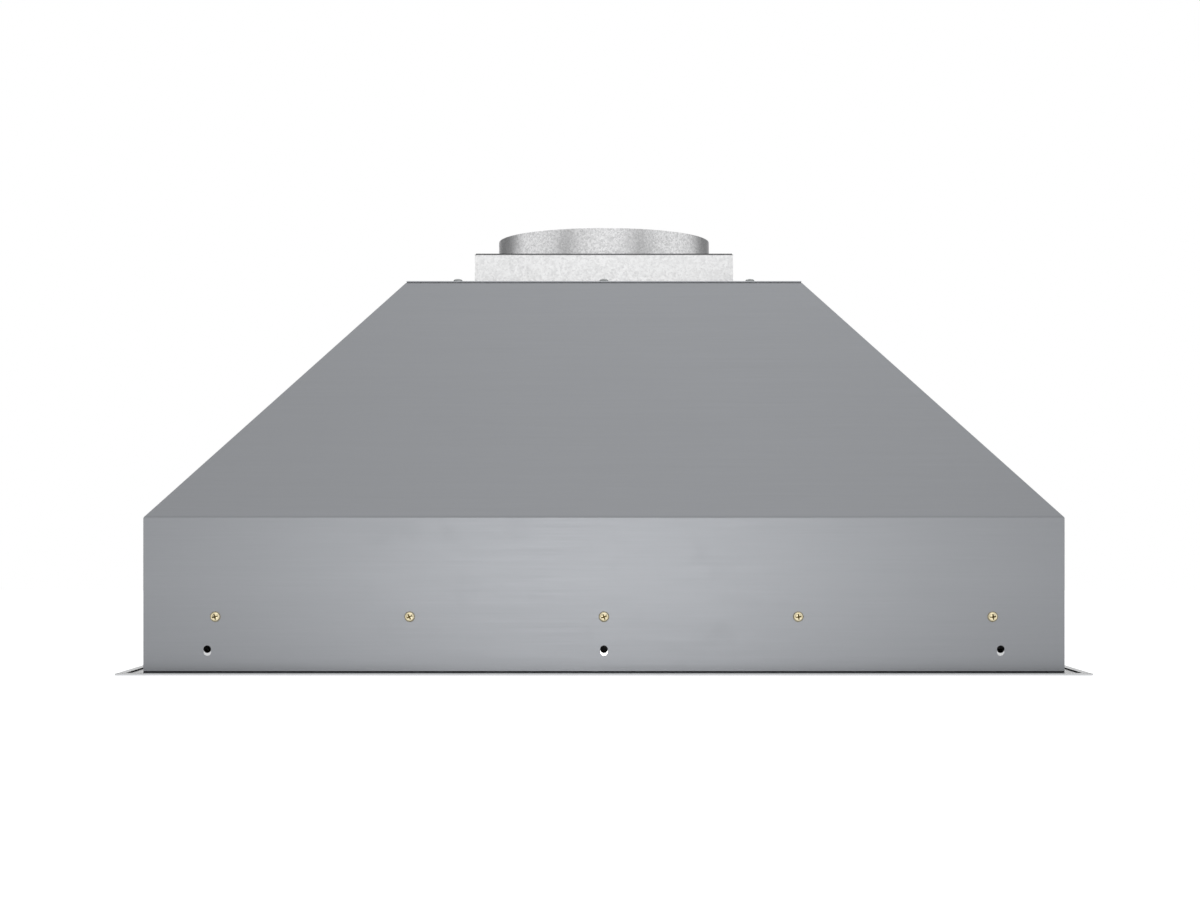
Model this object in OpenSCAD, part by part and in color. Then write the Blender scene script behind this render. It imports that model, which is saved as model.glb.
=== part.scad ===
// Built-in range hood insert. A folded steel body with a sloping canopy stands on a stainless liner
// with an outward flange. Inside are two baffle filters, a lamp and button strip, a double inlet
// blower and its wiring box. A square adapter on top carries the round duct collar and its damper.
// The origin is the middle of the flange's underside. X is the width, -Y the front and Z is up.

/* [Body] */
// Width of the body over its side panels
body_w = 678; // [640:2:760]
// Depth of the body from front panel to rear panel
body_d = 452; // [430:2:520]
// Height of the crease where the upright walls turn into the canopy
crease_z = 115; // [100:0.5:130]
// Height of the canopy's top edge, under the top plate
canopy_z = 297; // [290:1:330]
// Thickness of the folded steel sheet
sheet = 0.8; // [0.6:0.1:1.2]
// Inside radius of the bends
bend_r = 1.2; // [0.8:0.1:1.6]
// Width of the lip that the top plate is screwed to
lip_w = 14; // [12:1:18]
// Gap between the body's lower edge and the flange
body_gap = 1.2; // [0.4:0.1:2]

/* [Liner and flange] */
// How far the flange stands out past the side panels
flange_side = 16.5; // [12:0.5:24]
// How far the flange stands out past the front and rear panels
flange_front = 19; // [14:0.5:26]
// Width of the flange's folded hem
hem_w = 6.5; // [5:0.5:9]
// Height of the liner's walls
liner_h = 60; // [56:1:80]

/* [Holes in the body] */
// Distance from a side panel to the outermost screw in the front
screw_inset = 53; // [45:1:75]
// Distance from the front panel to the first screw in a side
side_screw_inset = 83; // [70:1:100]
// Height of those screws
screw_z = 42; // [38:0.5:50]
// Distance from a side panel to the outer mounting holes in the front
hole_inset = 47; // [42:1:80]
// Distance from the front panel to the mounting hole in a side
side_hole_inset = 76; // [60:1:100]
// Height of the mounting holes
hole_z = 18.1; // [14:0.1:19]
// Radius of a mounting hole
hole_r = 2.8; // [2.4:0.1:3.2]
// How far the holes in the body are drawn out downwards
hole_slot = 2.2; // [0:0.1:3]

/* [Duct adapter] */
// Thickness of the top plate
plate_t = 1; // [0.8:0.1:1.5]
// How far the adapter's walls stand out past the collar
adapter_margin = 14; // [12:0.5:18]
// Height of the adapter box
adapter_h = 27.2; // [22:0.2:40]
// Width of the adapter's foot flange
adapter_foot = 12; // [10:1:14]
// How far the top plate stands out past the adapter's foot
top_margin = 37.5; // [30:0.5:45]
// Outside radius of the round collar
collar_r = 89; // [80:0.5:92]
// Height of the collar's rim above the adapter's lid
collar_h = 22.5; // [20:0.5:40]
// Width of the collar's foot ring
collar_foot = 7; // [6:0.5:8]

/* [Damper] */
// Radius of the damper's hinge rod
rod_r = 2; // [1.5:0.1:2.5]
// Height of the hinge rod above the adapter's lid
rod_up = 9; // [8:0.5:12]
// Thickness of a damper flap
flap_t = 0.6; // [0.5:0.1:0.8]

/* [Filters] */
// Height of the filters' undersides above the flange
filter_z = 24; // [23:0.5:28]
// Thickness of a filter
filter_t = 24; // [20:1:26]
// Width of the lips round a filter frame
filter_lip = 14; // [10:1:18]
// Number of lower baffles in a filter
baffle_count = 8; // [6:1:9]
// Width of a baffle
baffle_w = 26; // [22:1:27]
// Height of a baffle's walls
baffle_h = 12; // [8:1:13]
// Distance between the legs of a filter handle
handle_w = 96; // [70:2:120]
// Radius of the handle's rod
handle_r = 3; // [2.5:0.1:4]

/* [Lamp and button strip] */
// Depth of the strip from front to back
strip_d = 95; // [90:1:105]
// Height of the strip's underside above the flange
strip_z = 5; // [4:0.5:7]
// Distance from a side panel to the middle of a lamp
lamp_inset = 109; // [90:1:140]
// Radius of the lamp's opening in the strip
lamp_r = 30; // [26:0.5:34]
// Distance between the buttons
button_pitch = 32; // [26:1:36]
// Radius of a button
button_r = 9; // [7:0.5:11]
// How far a button travels
button_travel = 2; // [1:0.2:2.4]

/* [Blower] */
// Radius of the impeller
impeller_r = 95; // [85:1:98]
// Width of the impeller
impeller_w = 130; // [110:2:134]
// Number of blades round the impeller
blade_count = 36; // [24:1:44]
// Width of the scroll housing over its side plates
scroll_w = 150; // [146:2:170]
// Gap between the impeller and the scroll at the tongue
tongue_gap = 9; // [7:0.5:11]
// How much the scroll opens out from tongue to outlet
scroll_growth = 32; // [26:1:34]
// Height of the impeller's shaft
shaft_z = 190; // [188:1:196]
// Radius of the inlet openings
inlet_r = 80; // [70:1:82]
// Radius of the motor
motor_r = 45; // [38:1:50]
// Length of the motor
motor_l = 62; // [50:1:63]
// Radius of the motor shaft
shaft_r = 4; // [3:0.5:5]

/* [Hidden] */
$fn = 48;

// Colours as the photograph shows them
satin_grey = [0.58, 0.6, 0.62];
stainless = [0.78, 0.79, 0.8];
galvanised = [0.86, 0.87, 0.88];
zinc_yellow = [0.82, 0.74, 0.5];

// Clearances and overruns
over = 1;
seat_gap = 0.3;
running_gap = 0.06;
fit_gap = 0.02;
bend_steps = 4;
arc_steps = 6;

// Body
body_z = sheet + body_gap;
half_w = body_w / 2;
half_d = body_d / 2;
adapter_half = collar_r + adapter_margin;
half_top = adapter_half + adapter_foot + top_margin;
top_side = 2 * half_top;
side_path = [[-half_w, body_z], [-half_w, crease_z], [-half_top, canopy_z], [-half_top + lip_w, canopy_z]];
front_path = [[-half_d, body_z], [-half_d, crease_z], [-half_top, canopy_z], [-half_top + lip_w, canopy_z]];
front_screw_xs = [for (i = [-2 : 2]) i * (half_w - screw_inset) / 2];
side_screw_ys = [for (i = [-1 : 1]) i * (half_d - side_screw_inset)];
front_hole_xs = [for (i = [-1 : 1]) i * (half_w - hole_inset)];
side_hole_ys = [for (i = [-1, 1]) i * (half_d - side_hole_inset)];

// Screws and rivets
screw_r = 1.9;
screw_hole_r = 2;
screw_head_r = 3.9;
screw_head_h = 2.6;
screw_head_side = 0.9;
screw_tip = 2.4;
dome_steps = 4;
rivet_r = 1.2;
rivet_hole_r = 1.25;
rivet_head_r = 2.4;
rivet_head_h = 1;
rivet_head_side = 0.2;

// Liner
liner_w = body_w - 2 * sheet;
liner_d = body_d - 2 * sheet;
inner_w = liner_w - 2 * sheet;
inner_d = liner_d - 2 * sheet;
flange_w = body_w + 2 * flange_side;
flange_d = body_d + 2 * flange_front;
edge_r = 1.5 * sheet;

// Top plate, adapter and collar
plate_z = canopy_z + plate_t;
top_screw_inset = 8;
top_screw_corner = 39.2;
top_screw_pitch = half_top - top_screw_corner;
top_side_screw_corner = 104.5;
top_side_screw_pitch = 2 * (half_top - top_side_screw_corner);
lid_inset = 0.8;
lid_z = plate_z + adapter_h;
lid_top = lid_z + sheet;
rim_z = lid_top + collar_h;
lid_half = adapter_half - lid_inset;
adapter_screw_corner = 48;
adapter_screw_pitch = 2 * (adapter_half - adapter_screw_corner);
rivet_count = 6;
collar_in = collar_r - sheet;

// Damper
rod_z = lid_top + rod_up;
rod_half = collar_r - 0.1;
knuckle_r = rod_r + 0.9;
knuckle_gap = 2;
knuckle_w = 26;
knuckle_span = 4 * knuckle_w + 3 * knuckle_gap;
flap_gap = 1.7;
flap_r = collar_in - flap_gap;
stop_w = 12;
stop_l = 6;

// Strip
strip_front = -inner_d / 2;
strip_back = strip_front + strip_d;
strip_mid = strip_front + strip_d / 2;
strip_front_h = 8;
strip_back_h = 43;
strip_top = strip_z + sheet;
strip_path = [
  [strip_front, strip_z + strip_front_h], [strip_front, strip_z],
  [strip_back, strip_z], [strip_back, strip_z + strip_back_h]
];

// Filters
ledge_w = 26;
ledge_h = 14;
ledge_hold = 12;
ledge_z = filter_z - seat_gap - sheet;
ledge_front = inner_d / 2 - ledge_w;
ledge_path = [[inner_d / 2, ledge_z + ledge_h], [inner_d / 2, ledge_z], [ledge_front, ledge_z]];
filter_front_gap = 3;
filter_side_gap = 4;
filter_mid_gap = 1.2;
filter_front = strip_back + filter_front_gap;
filter_back = ledge_front + ledge_hold;
filter_d = filter_back - filter_front;
filter_y = (filter_front + filter_back) / 2;
filter_w = inner_w / 2 - filter_side_gap - filter_mid_gap;
filter_x = filter_mid_gap + filter_w / 2;
baffle_pitch = (filter_w - 2 * sheet - baffle_w) / baffle_count;
baffle_end_gap = 0.2;
baffle_l = filter_d - 2 * sheet - 2 * baffle_end_gap;
handle_bend = 6;
handle_h = 18;
clip_w = 16;
clip_t = 0.5;
clip_top = 46;
clip_drop = 8;
clip_slope = 4;
clip_tail = 6;
clip_nose = 1.3;
clip_bend = 0.6;
clip_xs_share = [-0.3, 0.3];

// Buttons and switches
button_slots = [-2, -1, 0, 1, 2];
bezel_t = 1.6;
bezel_end = 16;
bezel_d = 34;
button_clear = 0.3;
button_proud = 2.6;
button_flange = 1.5;
button_flange_t = 1;
button_stem_r = 2.2;
button_stem_h = 1.8;
bezel_l = 4 * button_pitch + 2 * (button_r + bezel_end);
housing_wall = 1.5;
housing_h = 24;
housing_step = 2;
board_t = 1.6;
board_up = 10;
board_gap = 0.1;
switch_w = 6;
switch_h = 3.5;
plunger_r = 1.6;
plunger_h = 1;
housing_l = bezel_l - 8;
housing_d = 32;

// Lamps
lamp_x = half_w - lamp_inset;
lamp_ring = 5;
lamp_ring_t = 1.8;
lamp_wall = 2;
lamp_neck = 6;
lamp_gap = 0.2;
lens_t = 2.2;
lens_up = 0.6;
lamp_body_h = 20;
fin_count = 9;
fin_t = 1.5;
fin_base = 5;

// Blower
outlet_w = scroll_w - 2 * sheet;
tongue_angle = 118;
spiral_step = 11;
spiral_end = 360;
tongue_r = impeller_r + tongue_gap;
outlet_r = tongue_r + scroll_growth;
tongue_y = tongue_r * cos(tongue_angle);
shaft_y = -(tongue_y + outlet_r) / 2;
scroll_lip = 12;
blower_screw_share = [-0.4, 0, 0.4];
disc_t = 2;
hub_r = 12;
hub_l = 16;
ring_in = 12;
ring_t = 3;
blade_in = 17;
blade_edge = 1;
blade_t = 0.8;
blade_steps = 4;
blade_sweep = 14;
blade_inset = 0.5;
bell_foot = 10;
bell_depth = 8;
bell_throat = 4;
bell_t = 0.8;
bell_fit = 0.2;
nut_r = 7.5;
nut_t = 6;
shaft_out = 2;
shaft_in = 6;
bore_end = 2;
bracket_t = 2;
bracket_hub = 32;
bracket_arm = 15;
bracket_reach = 8;
arm_count = 3;
bracket_x = scroll_w / 2 + bell_t;
motor_x = bracket_x - motor_l;
motor_boss_r = 14;
motor_boss_h = 3;
motor_band = 6;
motor_waist = 2;

// Wiring box
junction_gap = 2.5;
junction_clear = 1;
junction_left = scroll_w / 2 + scroll_lip + junction_gap;
junction_right = half_top - lip_w - junction_clear;
junction_w = junction_right - junction_left;
junction_d = 76;
junction_h = 45;
junction_rear_inset = 53;
junction_x = (junction_left + junction_right) / 2;
junction_y = half_top - junction_rear_inset;
junction_wall = 1;
inside_gap = 2;
inside_w = junction_w - 2 * junction_wall - 3 * inside_gap;
block_w_share = 0.45;
block_w = block_w_share * inside_w;
block_d = 44;
block_h = 14;
block_way = 11;
block_screw_r = 2.5;
cap_w_share = 0.5;
cap_w = cap_w_share * inside_w;
cap_d = 40;
cap_h = 28;
cover_lip = 6;
bushing_r = 8;
bushing_hole_r = 5;
bushing_rim = 2;
bushing_up = 3;
bushing_y = 26.5;

// Sheet metal drawn as the path of one face: side is 1 where the sheet lies left of the path
function unit(v) = v / norm(v);
function left_of(v) = [-v.y, v.x];
function turned(v, a) = [v.x * cos(a) - v.y * sin(a), v.x * sin(a) + v.y * cos(a)];
function turn(c, d) = atan2(c.x * d.y - c.y * d.x, c.x * d.x + c.y * d.y);
function backwards(list) = [for (i = [len(list) - 1 : -1 : 0]) list[i]];
function mirrored(points) = concat(points, [for (p = backwards(points)) [-p.x, p.y]]);
function polar(r, a) = [r * cos(a), r * sin(a)];

// The points of one bend, from the direction c, by the angle a
function bend_points(p, c, a, side, depth, t, r) =
  let (
    way = a > 0 ? 1 : -1,
    rho = way == side ? r + t : r,
    start = p - c * rho * tan(abs(a) / 2),
    centre = start + way * rho * left_of(c)
  )
  [for (j = [0 : bend_steps]) centre + (rho - way * side * depth) * turned(-way * left_of(c), a * j / bend_steps)];

function face_points(path, side, depth, t, r) = [
  for (i = [0 : len(path) - 1])
    let (
      last = len(path) - 1,
      d = i < last ? unit(path[i + 1] - path[i]) : unit(path[i] - path[i - 1]),
      c = i > 0 ? unit(path[i] - path[i - 1]) : d
    )
    each (i == 0 || i == last
      ? [path[i] + side * depth * left_of(d)]
      : bend_points(path[i], c, turn(c, d), side, depth, t, r))
];

module sheet_outline(path, side, t = sheet, r = bend_r) {
  polygon(concat(face_points(path, side, 0, t, r), backwards(face_points(path, side, t, t, r))));
}

module along_x(length) {
  rotate([90, 0, 90])
    linear_extrude(length, center = true)
      children();
}

module along_y(length) {
  rotate([90, 0, 0])
    linear_extrude(length, center = true)
      children();
}

module block(w, d, low, high) {
  translate([-w / 2, -d / 2, low])
    cube([w, d, high - low]);
}

// A block whose half width and half depth change with height, as [half, z] points give them
module rim_box(rim_x, rim_y) {
  intersection() {
    along_y(2 * max([for (p = rim_y) p.x]) + 2 * over)
      polygon(mirrored(rim_x));
    along_x(2 * max([for (p = rim_x) p.x]) + 2 * over)
      polygon(mirrored(rim_y));
  }
}

module both_sides() {
  children();
  mirror([1, 0, 0])
    children();
}

module front_and_rear() {
  children();
  mirror([0, 1, 0])
    children();
}

// Turns a piece that stands on Z so that it points out of the front or the right side, its Y up
module at_front(x, z) {
  translate([x, -half_d, z])
    rotate([90, 0, 0])
      children();
}

module at_right(y, z) {
  translate([half_w, y, z])
    rotate([90, 0, 90])
      children();
}

module headed(r, length, head_r, head_side, head_h) {
  rotate_extrude()
    polygon(concat(
      [[0, -length], [r, -length], [r, 0], [head_r, 0]],
      [for (i = [0 : dome_steps]) [
        head_r * cos(90 * i / dome_steps),
        head_side + (head_h - head_side) * sin(90 * i / dome_steps)
      ]]
    ));
}

module pan_screw(length) {
  headed(screw_r, length, screw_head_r, screw_head_side, screw_head_h);
}

module rivet(length) {
  headed(rivet_r, length, rivet_head_r, rivet_head_side, rivet_head_h);
}

module through(r, depth) {
  translate([0, 0, -depth - over])
    cylinder(r = r, h = depth + 2 * over);
}

// A hole in the body: the liner's round hole behind it is at the slot's upper end
module slot_hole() {
  through(hole_r, sheet);
  translate([0, -hole_slot, 0])
    through(hole_r, sheet);
  translate([-hole_r, -hole_slot, -sheet - over])
    cube([2 * hole_r, hole_slot, sheet + 2 * over]);
}

// Body panels
module front_shell() {
  difference() {
    intersection() {
      along_x(body_w + 2 * over)
        sheet_outline(front_path, -1);
      along_y(body_d + 2 * over)
        polygon(mirrored(face_points(side_path, -1, 0, sheet, bend_r)));
    }
    for (x = front_screw_xs)
      at_front(x, screw_z)
        through(screw_hole_r, sheet);
    for (x = front_hole_xs)
      at_front(x, hole_z)
        slot_hole();
    mirror([0, 1, 0])
      plate_row(screw_hole_r);
  }
}

module side_shell() {
  inner = face_points(front_path, -1, sheet, sheet, bend_r);
  difference() {
    intersection() {
      along_y(body_d)
        mirror([1, 0, 0])
          sheet_outline(side_path, -1);
      along_x(body_w + 2 * over)
        polygon(mirrored(concat(inner, [[-half_top + lip_w, canopy_z]])));
    }
    for (y = side_screw_ys)
      at_right(y, screw_z)
        through(screw_hole_r, sheet);
    for (y = side_hole_ys)
      at_right(y, hole_z)
        slot_hole();
    plate_side_row(screw_hole_r);
  }
}

module front_panel() {
  color(satin_grey)
    front_shell();
}

module rear_panel() {
  color(satin_grey)
    mirror([0, 1, 0])
      front_shell();
}

module left_panel() {
  color(satin_grey)
    mirror([1, 0, 0])
      side_shell();
}

module right_panel() {
  color(satin_grey)
    side_shell();
}

// Holes for the screws along the top plate's rear edge and right edge
module plate_row(r) {
  for (i = [-1 : 1])
    translate([i * top_screw_pitch, half_top - top_screw_inset, plate_z])
      through(r, plate_t + sheet);
}

module plate_side_row(r) {
  for (i = [-1, 1])
    translate([half_top - top_screw_inset, i * top_side_screw_pitch / 2, plate_z])
      through(r, plate_t + sheet);
}

module at_outlet_lips() {
  for (share = blower_screw_share)
    translate([scroll_w / 2 + scroll_lip / 2, share * (outlet_r - tongue_y), plate_z])
      children();
}

module at_adapter_screws() {
  for (a = [0 : 90 : 270])
    rotate(a)
      for (i = [-1, 1])
        translate([i * adapter_screw_pitch / 2, adapter_half + adapter_foot / 2, plate_z + sheet])
          children();
}

module top_plate() {
  color(satin_grey)
    difference() {
      block(top_side, top_side, canopy_z, plate_z);
      block(outlet_w, outlet_r - tongue_y, canopy_z - over, plate_z + over);
      front_and_rear()
        plate_row(screw_hole_r);
      both_sides()
        plate_side_row(screw_hole_r);
      both_sides()
        at_outlet_lips()
          through(screw_hole_r, plate_t);
      at_adapter_screws()
        through(screw_hole_r, plate_t + sheet);
      translate([junction_x, junction_y + bushing_y, plate_z])
        through(bushing_r, plate_t);
    }
}

module top_plate_screws() {
  color(zinc_yellow) {
    for (x = [-1 : 1])
      front_and_rear()
        translate([x * top_screw_pitch, half_top - top_screw_inset, plate_z])
          pan_screw(plate_t + sheet + screw_tip);
    for (y = [-1, 1])
      both_sides()
        translate([half_top - top_screw_inset, y * top_side_screw_pitch / 2, plate_z])
          pan_screw(plate_t + sheet + screw_tip);
  }
}

module liner_screws() {
  color(zinc_yellow) {
    for (x = front_screw_xs)
      front_and_rear()
        at_front(x, screw_z)
          pan_screw(2 * sheet + screw_tip);
    for (y = side_screw_ys)
      both_sides()
        at_right(y, screw_z)
          pan_screw(2 * sheet + screw_tip);
  }
}

// Liner with its flange, folded back on itself along the outer edge
function nose(half) = [for (i = [0 : arc_steps]) let (a = -90 + 180 * i / arc_steps) [half - sheet + sheet * cos(a), sheet + sheet * sin(a)]];
function flare(half, top) = concat(
  [[half + edge_r, -over]],
  [for (i = [0 : arc_steps]) let (a = 90 * i / arc_steps) [half + edge_r * (1 - sin(a)), edge_r * (1 - cos(a))]],
  [[half, top + over]]
);

module liner() {
  color(stainless)
    difference() {
      union() {
        rim_box(nose(flange_w / 2), nose(flange_d / 2));
        block(liner_w, liner_d, sheet, liner_h);
      }
      difference() {
        block(flange_w - 2 * hem_w, flange_d - 2 * hem_w, sheet, 2 * sheet + over);
        block(liner_w, liner_d, 0, 2 * sheet + 2 * over);
      }
      rim_box(flare(inner_w / 2, liner_h), flare(inner_d / 2, liner_h));
      front_and_rear() {
        for (x = front_screw_xs)
          at_front(x, screw_z)
            through(screw_hole_r, 2 * sheet);
        for (x = front_hole_xs)
          at_front(x, hole_z)
            through(hole_r, 2 * sheet);
      }
      both_sides() {
        for (y = side_screw_ys)
          at_right(y, screw_z)
            through(screw_hole_r, 2 * sheet);
        for (y = side_hole_ys)
          at_right(y, hole_z)
            through(hole_r, 2 * sheet);
      }
    }
}

// Duct adapter, its lid and the collar
module adapter_box() {
  wall_in = adapter_half - sheet;
  mouth = collar_r + collar_foot;
  foot = adapter_half + adapter_foot;
  outer_rim = [[foot, plate_z], [foot, plate_z + sheet], [adapter_half, plate_z + sheet], [adapter_half, lid_z]];
  inner_rim = [[wall_in, plate_z - over], [wall_in, lid_z - sheet], [mouth, lid_z - sheet], [mouth, lid_z + over]];
  color(galvanised)
    difference() {
      rim_box(outer_rim, outer_rim);
      rim_box(inner_rim, inner_rim);
      at_adapter_screws()
        through(screw_hole_r, sheet);
    }
}

module at_rivets(z) {
  for (i = [0 : rivet_count - 1])
    rotate(360 * (i + 0.5) / rivet_count)
      translate([collar_r + collar_foot / 2, 0, z])
        children();
}

module collar_plate() {
  color(galvanised)
    difference() {
      block(2 * lid_half, 2 * lid_half, lid_z, lid_top);
      translate([0, 0, lid_z - over])
        cylinder(r = collar_in, h = sheet + 2 * over);
      at_rivets(lid_top)
        through(rivet_hole_r, sheet);
    }
}

module duct_collar() {
  foot_r = collar_r + collar_foot;
  color(galvanised)
    difference() {
      union() {
        rotate_extrude()
          polygon([
            [collar_in, lid_top], [foot_r, lid_top], [foot_r, lid_top + sheet],
            [collar_r, lid_top + sheet], [collar_r, rim_z], [collar_in, rim_z]
          ]);
        front_and_rear()
          intersection() {
            translate([-stop_w / 2, collar_in - stop_l, rod_z - flap_t / 2 - seat_gap - sheet])
              cube([stop_w, stop_l + sheet, sheet]);
            translate([0, 0, lid_top])
              cylinder(r = collar_in + sheet / 2, h = collar_h);
          }
      }
      translate([0, 0, rod_z])
        rotate([0, 90, 0])
          cylinder(r = rod_r + fit_gap, h = 2 * collar_r + 2 * over, center = true);
      at_rivets(lid_top + sheet)
        through(rivet_hole_r, sheet);
    }
}

module collar_rivets() {
  color(stainless)
    at_rivets(lid_top + sheet)
      rivet(2 * sheet + rivet_head_h);
}

module adapter_screws() {
  color(zinc_yellow)
    at_adapter_screws()
      pan_screw(plate_t + sheet + screw_tip);
}

module damper_rod() {
  color(stainless)
    translate([0, 0, rod_z])
      rotate([0, 90, 0])
        cylinder(r = rod_r, h = 2 * rod_half, center = true);
}

// A half-round flap with two knuckles, in the places that order gives, from the left
module damper_flap(order) {
  pitch = knuckle_w + knuckle_gap;
  root = knuckle_r + seat_gap;
  color(stainless)
    translate([0, 0, rod_z])
      difference() {
        union() {
          intersection() {
            translate([0, 0, -flap_t / 2])
              cylinder(r = flap_r, h = flap_t);
            translate([-flap_r, -flap_r, -flap_t])
              cube([2 * flap_r, flap_r - root, 2 * flap_t]);
          }
          for (i = order)
            translate([-knuckle_span / 2 + i * pitch, 0, 0]) {
              rotate([0, 90, 0])
                cylinder(r = knuckle_r, h = knuckle_w);
              translate([0, -root - over, -flap_t / 2])
                cube([knuckle_w, root + over, flap_t]);
            }
        }
        rotate([0, 90, 0])
          cylinder(r = rod_r + running_gap, h = 2 * flap_r + 2 * over, center = true);
      }
}

module damper_flap_front() {
  damper_flap([0, 2]);
}

module damper_flap_rear() {
  rotate(180)
    damper_flap([0, 2]);
}

// Strip for lamps and buttons, and the ledge behind the filters
module at_lamp() {
  translate([lamp_x, strip_mid, strip_z])
    children();
}

module at_button(slot) {
  translate([slot * button_pitch, strip_mid, strip_z])
    children();
}

module front_strip() {
  color(stainless)
    difference() {
      along_x(inner_w)
        sheet_outline(strip_path, 1);
      both_sides()
        at_lamp()
          translate([0, 0, -over])
            cylinder(r = lamp_r, h = sheet + 2 * over);
      for (slot = button_slots)
        at_button(slot)
          translate([0, 0, -over])
            cylinder(r = button_r + button_clear, h = sheet + 2 * over);
    }
}

module rear_ledge() {
  color(stainless)
    along_x(inner_w)
      sheet_outline(ledge_path, -1);
}

// Baffle filters
module filter_frame() {
  color(stainless)
    translate([filter_x, filter_y, 0])
      difference() {
        block(filter_w, filter_d, filter_z, filter_z + filter_t);
        block(filter_w - 2 * sheet, filter_d - 2 * sheet, filter_z + sheet, filter_z + filter_t - sheet);
        block(filter_w - 2 * filter_lip, filter_d - 2 * filter_lip, filter_z - over, filter_z + filter_t + over);
      }
}

module baffle() {
  along_y(baffle_l)
    sheet_outline([[-baffle_w / 2, baffle_h], [-baffle_w / 2, 0], [baffle_w / 2, 0], [baffle_w / 2, baffle_h]], 1);
}

module filter_baffles() {
  color(stainless)
    translate([filter_x, filter_y, 0]) {
      for (i = [0 : baffle_count - 1])
        translate([(i - (baffle_count - 1) / 2) * baffle_pitch, 0, filter_z + sheet])
          baffle();
      for (i = [0 : baffle_count])
        translate([(i - baffle_count / 2) * baffle_pitch, 0, filter_z + filter_t - sheet])
          mirror([0, 0, 1])
            baffle();
    }
}

module filter_handle() {
  reach = handle_h - handle_r;
  color(stainless)
    translate([filter_x, filter_front + filter_lip / 2, filter_z])
      mirror([0, 0, 1]) {
        both_sides() {
          translate([handle_w / 2, 0, 0])
            cylinder(r = handle_r, h = reach - handle_bend);
          translate([handle_w / 2 - handle_bend, 0, reach - handle_bend])
            rotate([90, 0, 0])
              rotate_extrude(angle = 90)
                translate([handle_bend, 0])
                  circle(r = handle_r);
        }
        translate([0, 0, reach])
          rotate([0, 90, 0])
            cylinder(r = handle_r, h = handle_w - 2 * handle_bend, center = true);
      }
}

module filter_frame_left() {
  mirror([1, 0, 0])
    filter_frame();
}

module filter_frame_right() {
  filter_frame();
}

module filter_baffles_left() {
  mirror([1, 0, 0])
    filter_baffles();
}

module filter_baffles_right() {
  filter_baffles();
}

module filter_handle_left() {
  mirror([1, 0, 0])
    filter_handle();
}

module filter_handle_right() {
  filter_handle();
}

module filter_clips() {
  low = clip_top - clip_drop;
  path = [
    [strip_back, clip_top], [strip_back, low], [strip_back + clip_nose, low - clip_slope],
    [strip_back, low - 2 * clip_slope], [strip_back, low - 2 * clip_slope - clip_tail]
  ];
  color(stainless)
    both_sides()
      for (share = clip_xs_share)
        translate([filter_x + share * filter_w, 0, 0])
          along_x(clip_w)
            sheet_outline(path, 1, clip_t, clip_bend);
}

// Buttons
module bezel_outline(l, d) {
  square([l - d, d], center = true);
  for (x = [-1, 1])
    translate([x * (l - d) / 2, 0])
      circle(d = d);
}

module button_bezel() {
  color(stainless)
    difference() {
      at_button(0)
        translate([0, 0, -bezel_t])
          linear_extrude(bezel_t)
            bezel_outline(bezel_l, bezel_d);
      for (slot = button_slots)
        at_button(slot)
          translate([0, 0, -bezel_t - over])
            cylinder(r = button_r + button_clear, h = bezel_t + 2 * over);
    }
}

module button(slot) {
  collar_low = sheet + seat_gap;
  collar_high = collar_low + button_flange_t;
  edge = button_flange_t / 2;
  color(stainless)
    at_button(slot)
      rotate_extrude()
        polygon([
          [0, -button_proud], [button_r - edge, -button_proud], [button_r, -button_proud + edge],
          [button_r, collar_low], [button_r + button_flange, collar_low],
          [button_r + button_flange, collar_high], [button_stem_r, collar_high],
          [button_stem_r, collar_high + button_stem_h], [0, collar_high + button_stem_h]
        ]);
}

module switch_board() {
  board_z = strip_top + board_up;
  switch_z = board_z - switch_h;
  color([0.1, 0.35, 0.2])
    translate([0, strip_mid, 0])
      block(housing_l - 2 * housing_wall - 2 * board_gap, housing_d - 2 * housing_wall - 2 * board_gap, board_z, board_z + board_t);
  color([0.15, 0.15, 0.16])
    for (slot = button_slots)
      translate([slot * button_pitch, strip_mid, 0]) {
        block(switch_w, switch_w, switch_z, board_z);
        translate([0, 0, switch_z - plunger_h])
          cylinder(r = plunger_r, h = plunger_h);
      }
}

module switch_housing() {
  in_l = housing_l - 2 * housing_wall;
  in_d = housing_d - 2 * housing_wall;
  board_z = strip_top + board_up;
  color([0.2, 0.2, 0.21])
    translate([0, strip_mid, 0])
      difference() {
        block(housing_l, housing_d, strip_top, strip_top + housing_h);
        block(in_l - 2 * housing_step, in_d - 2 * housing_step, strip_top - over, board_z + over);
        block(in_l, in_d, board_z, strip_top + housing_h - housing_wall);
        block(in_l, in_d, strip_top - over, board_z - housing_step);
      }
}

// Lamps
module lamp_bezel() {
  barrel_r = lamp_r - lamp_gap;
  color(stainless)
    at_lamp()
      rotate_extrude()
        polygon([
          [barrel_r - lamp_wall, -lamp_ring_t], [lamp_r + lamp_ring - lamp_ring_t, -lamp_ring_t],
          [lamp_r + lamp_ring, 0], [barrel_r, 0], [barrel_r, lamp_neck], [barrel_r - lamp_wall, lamp_neck]
        ]);
}

module lamp_lens() {
  color([0.95, 0.95, 0.92, 0.6])
    at_lamp()
      translate([0, 0, lens_up - lamp_ring_t])
        cylinder(r = lamp_r - lamp_gap - lamp_wall - fit_gap, h = lens_t);
}

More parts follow.
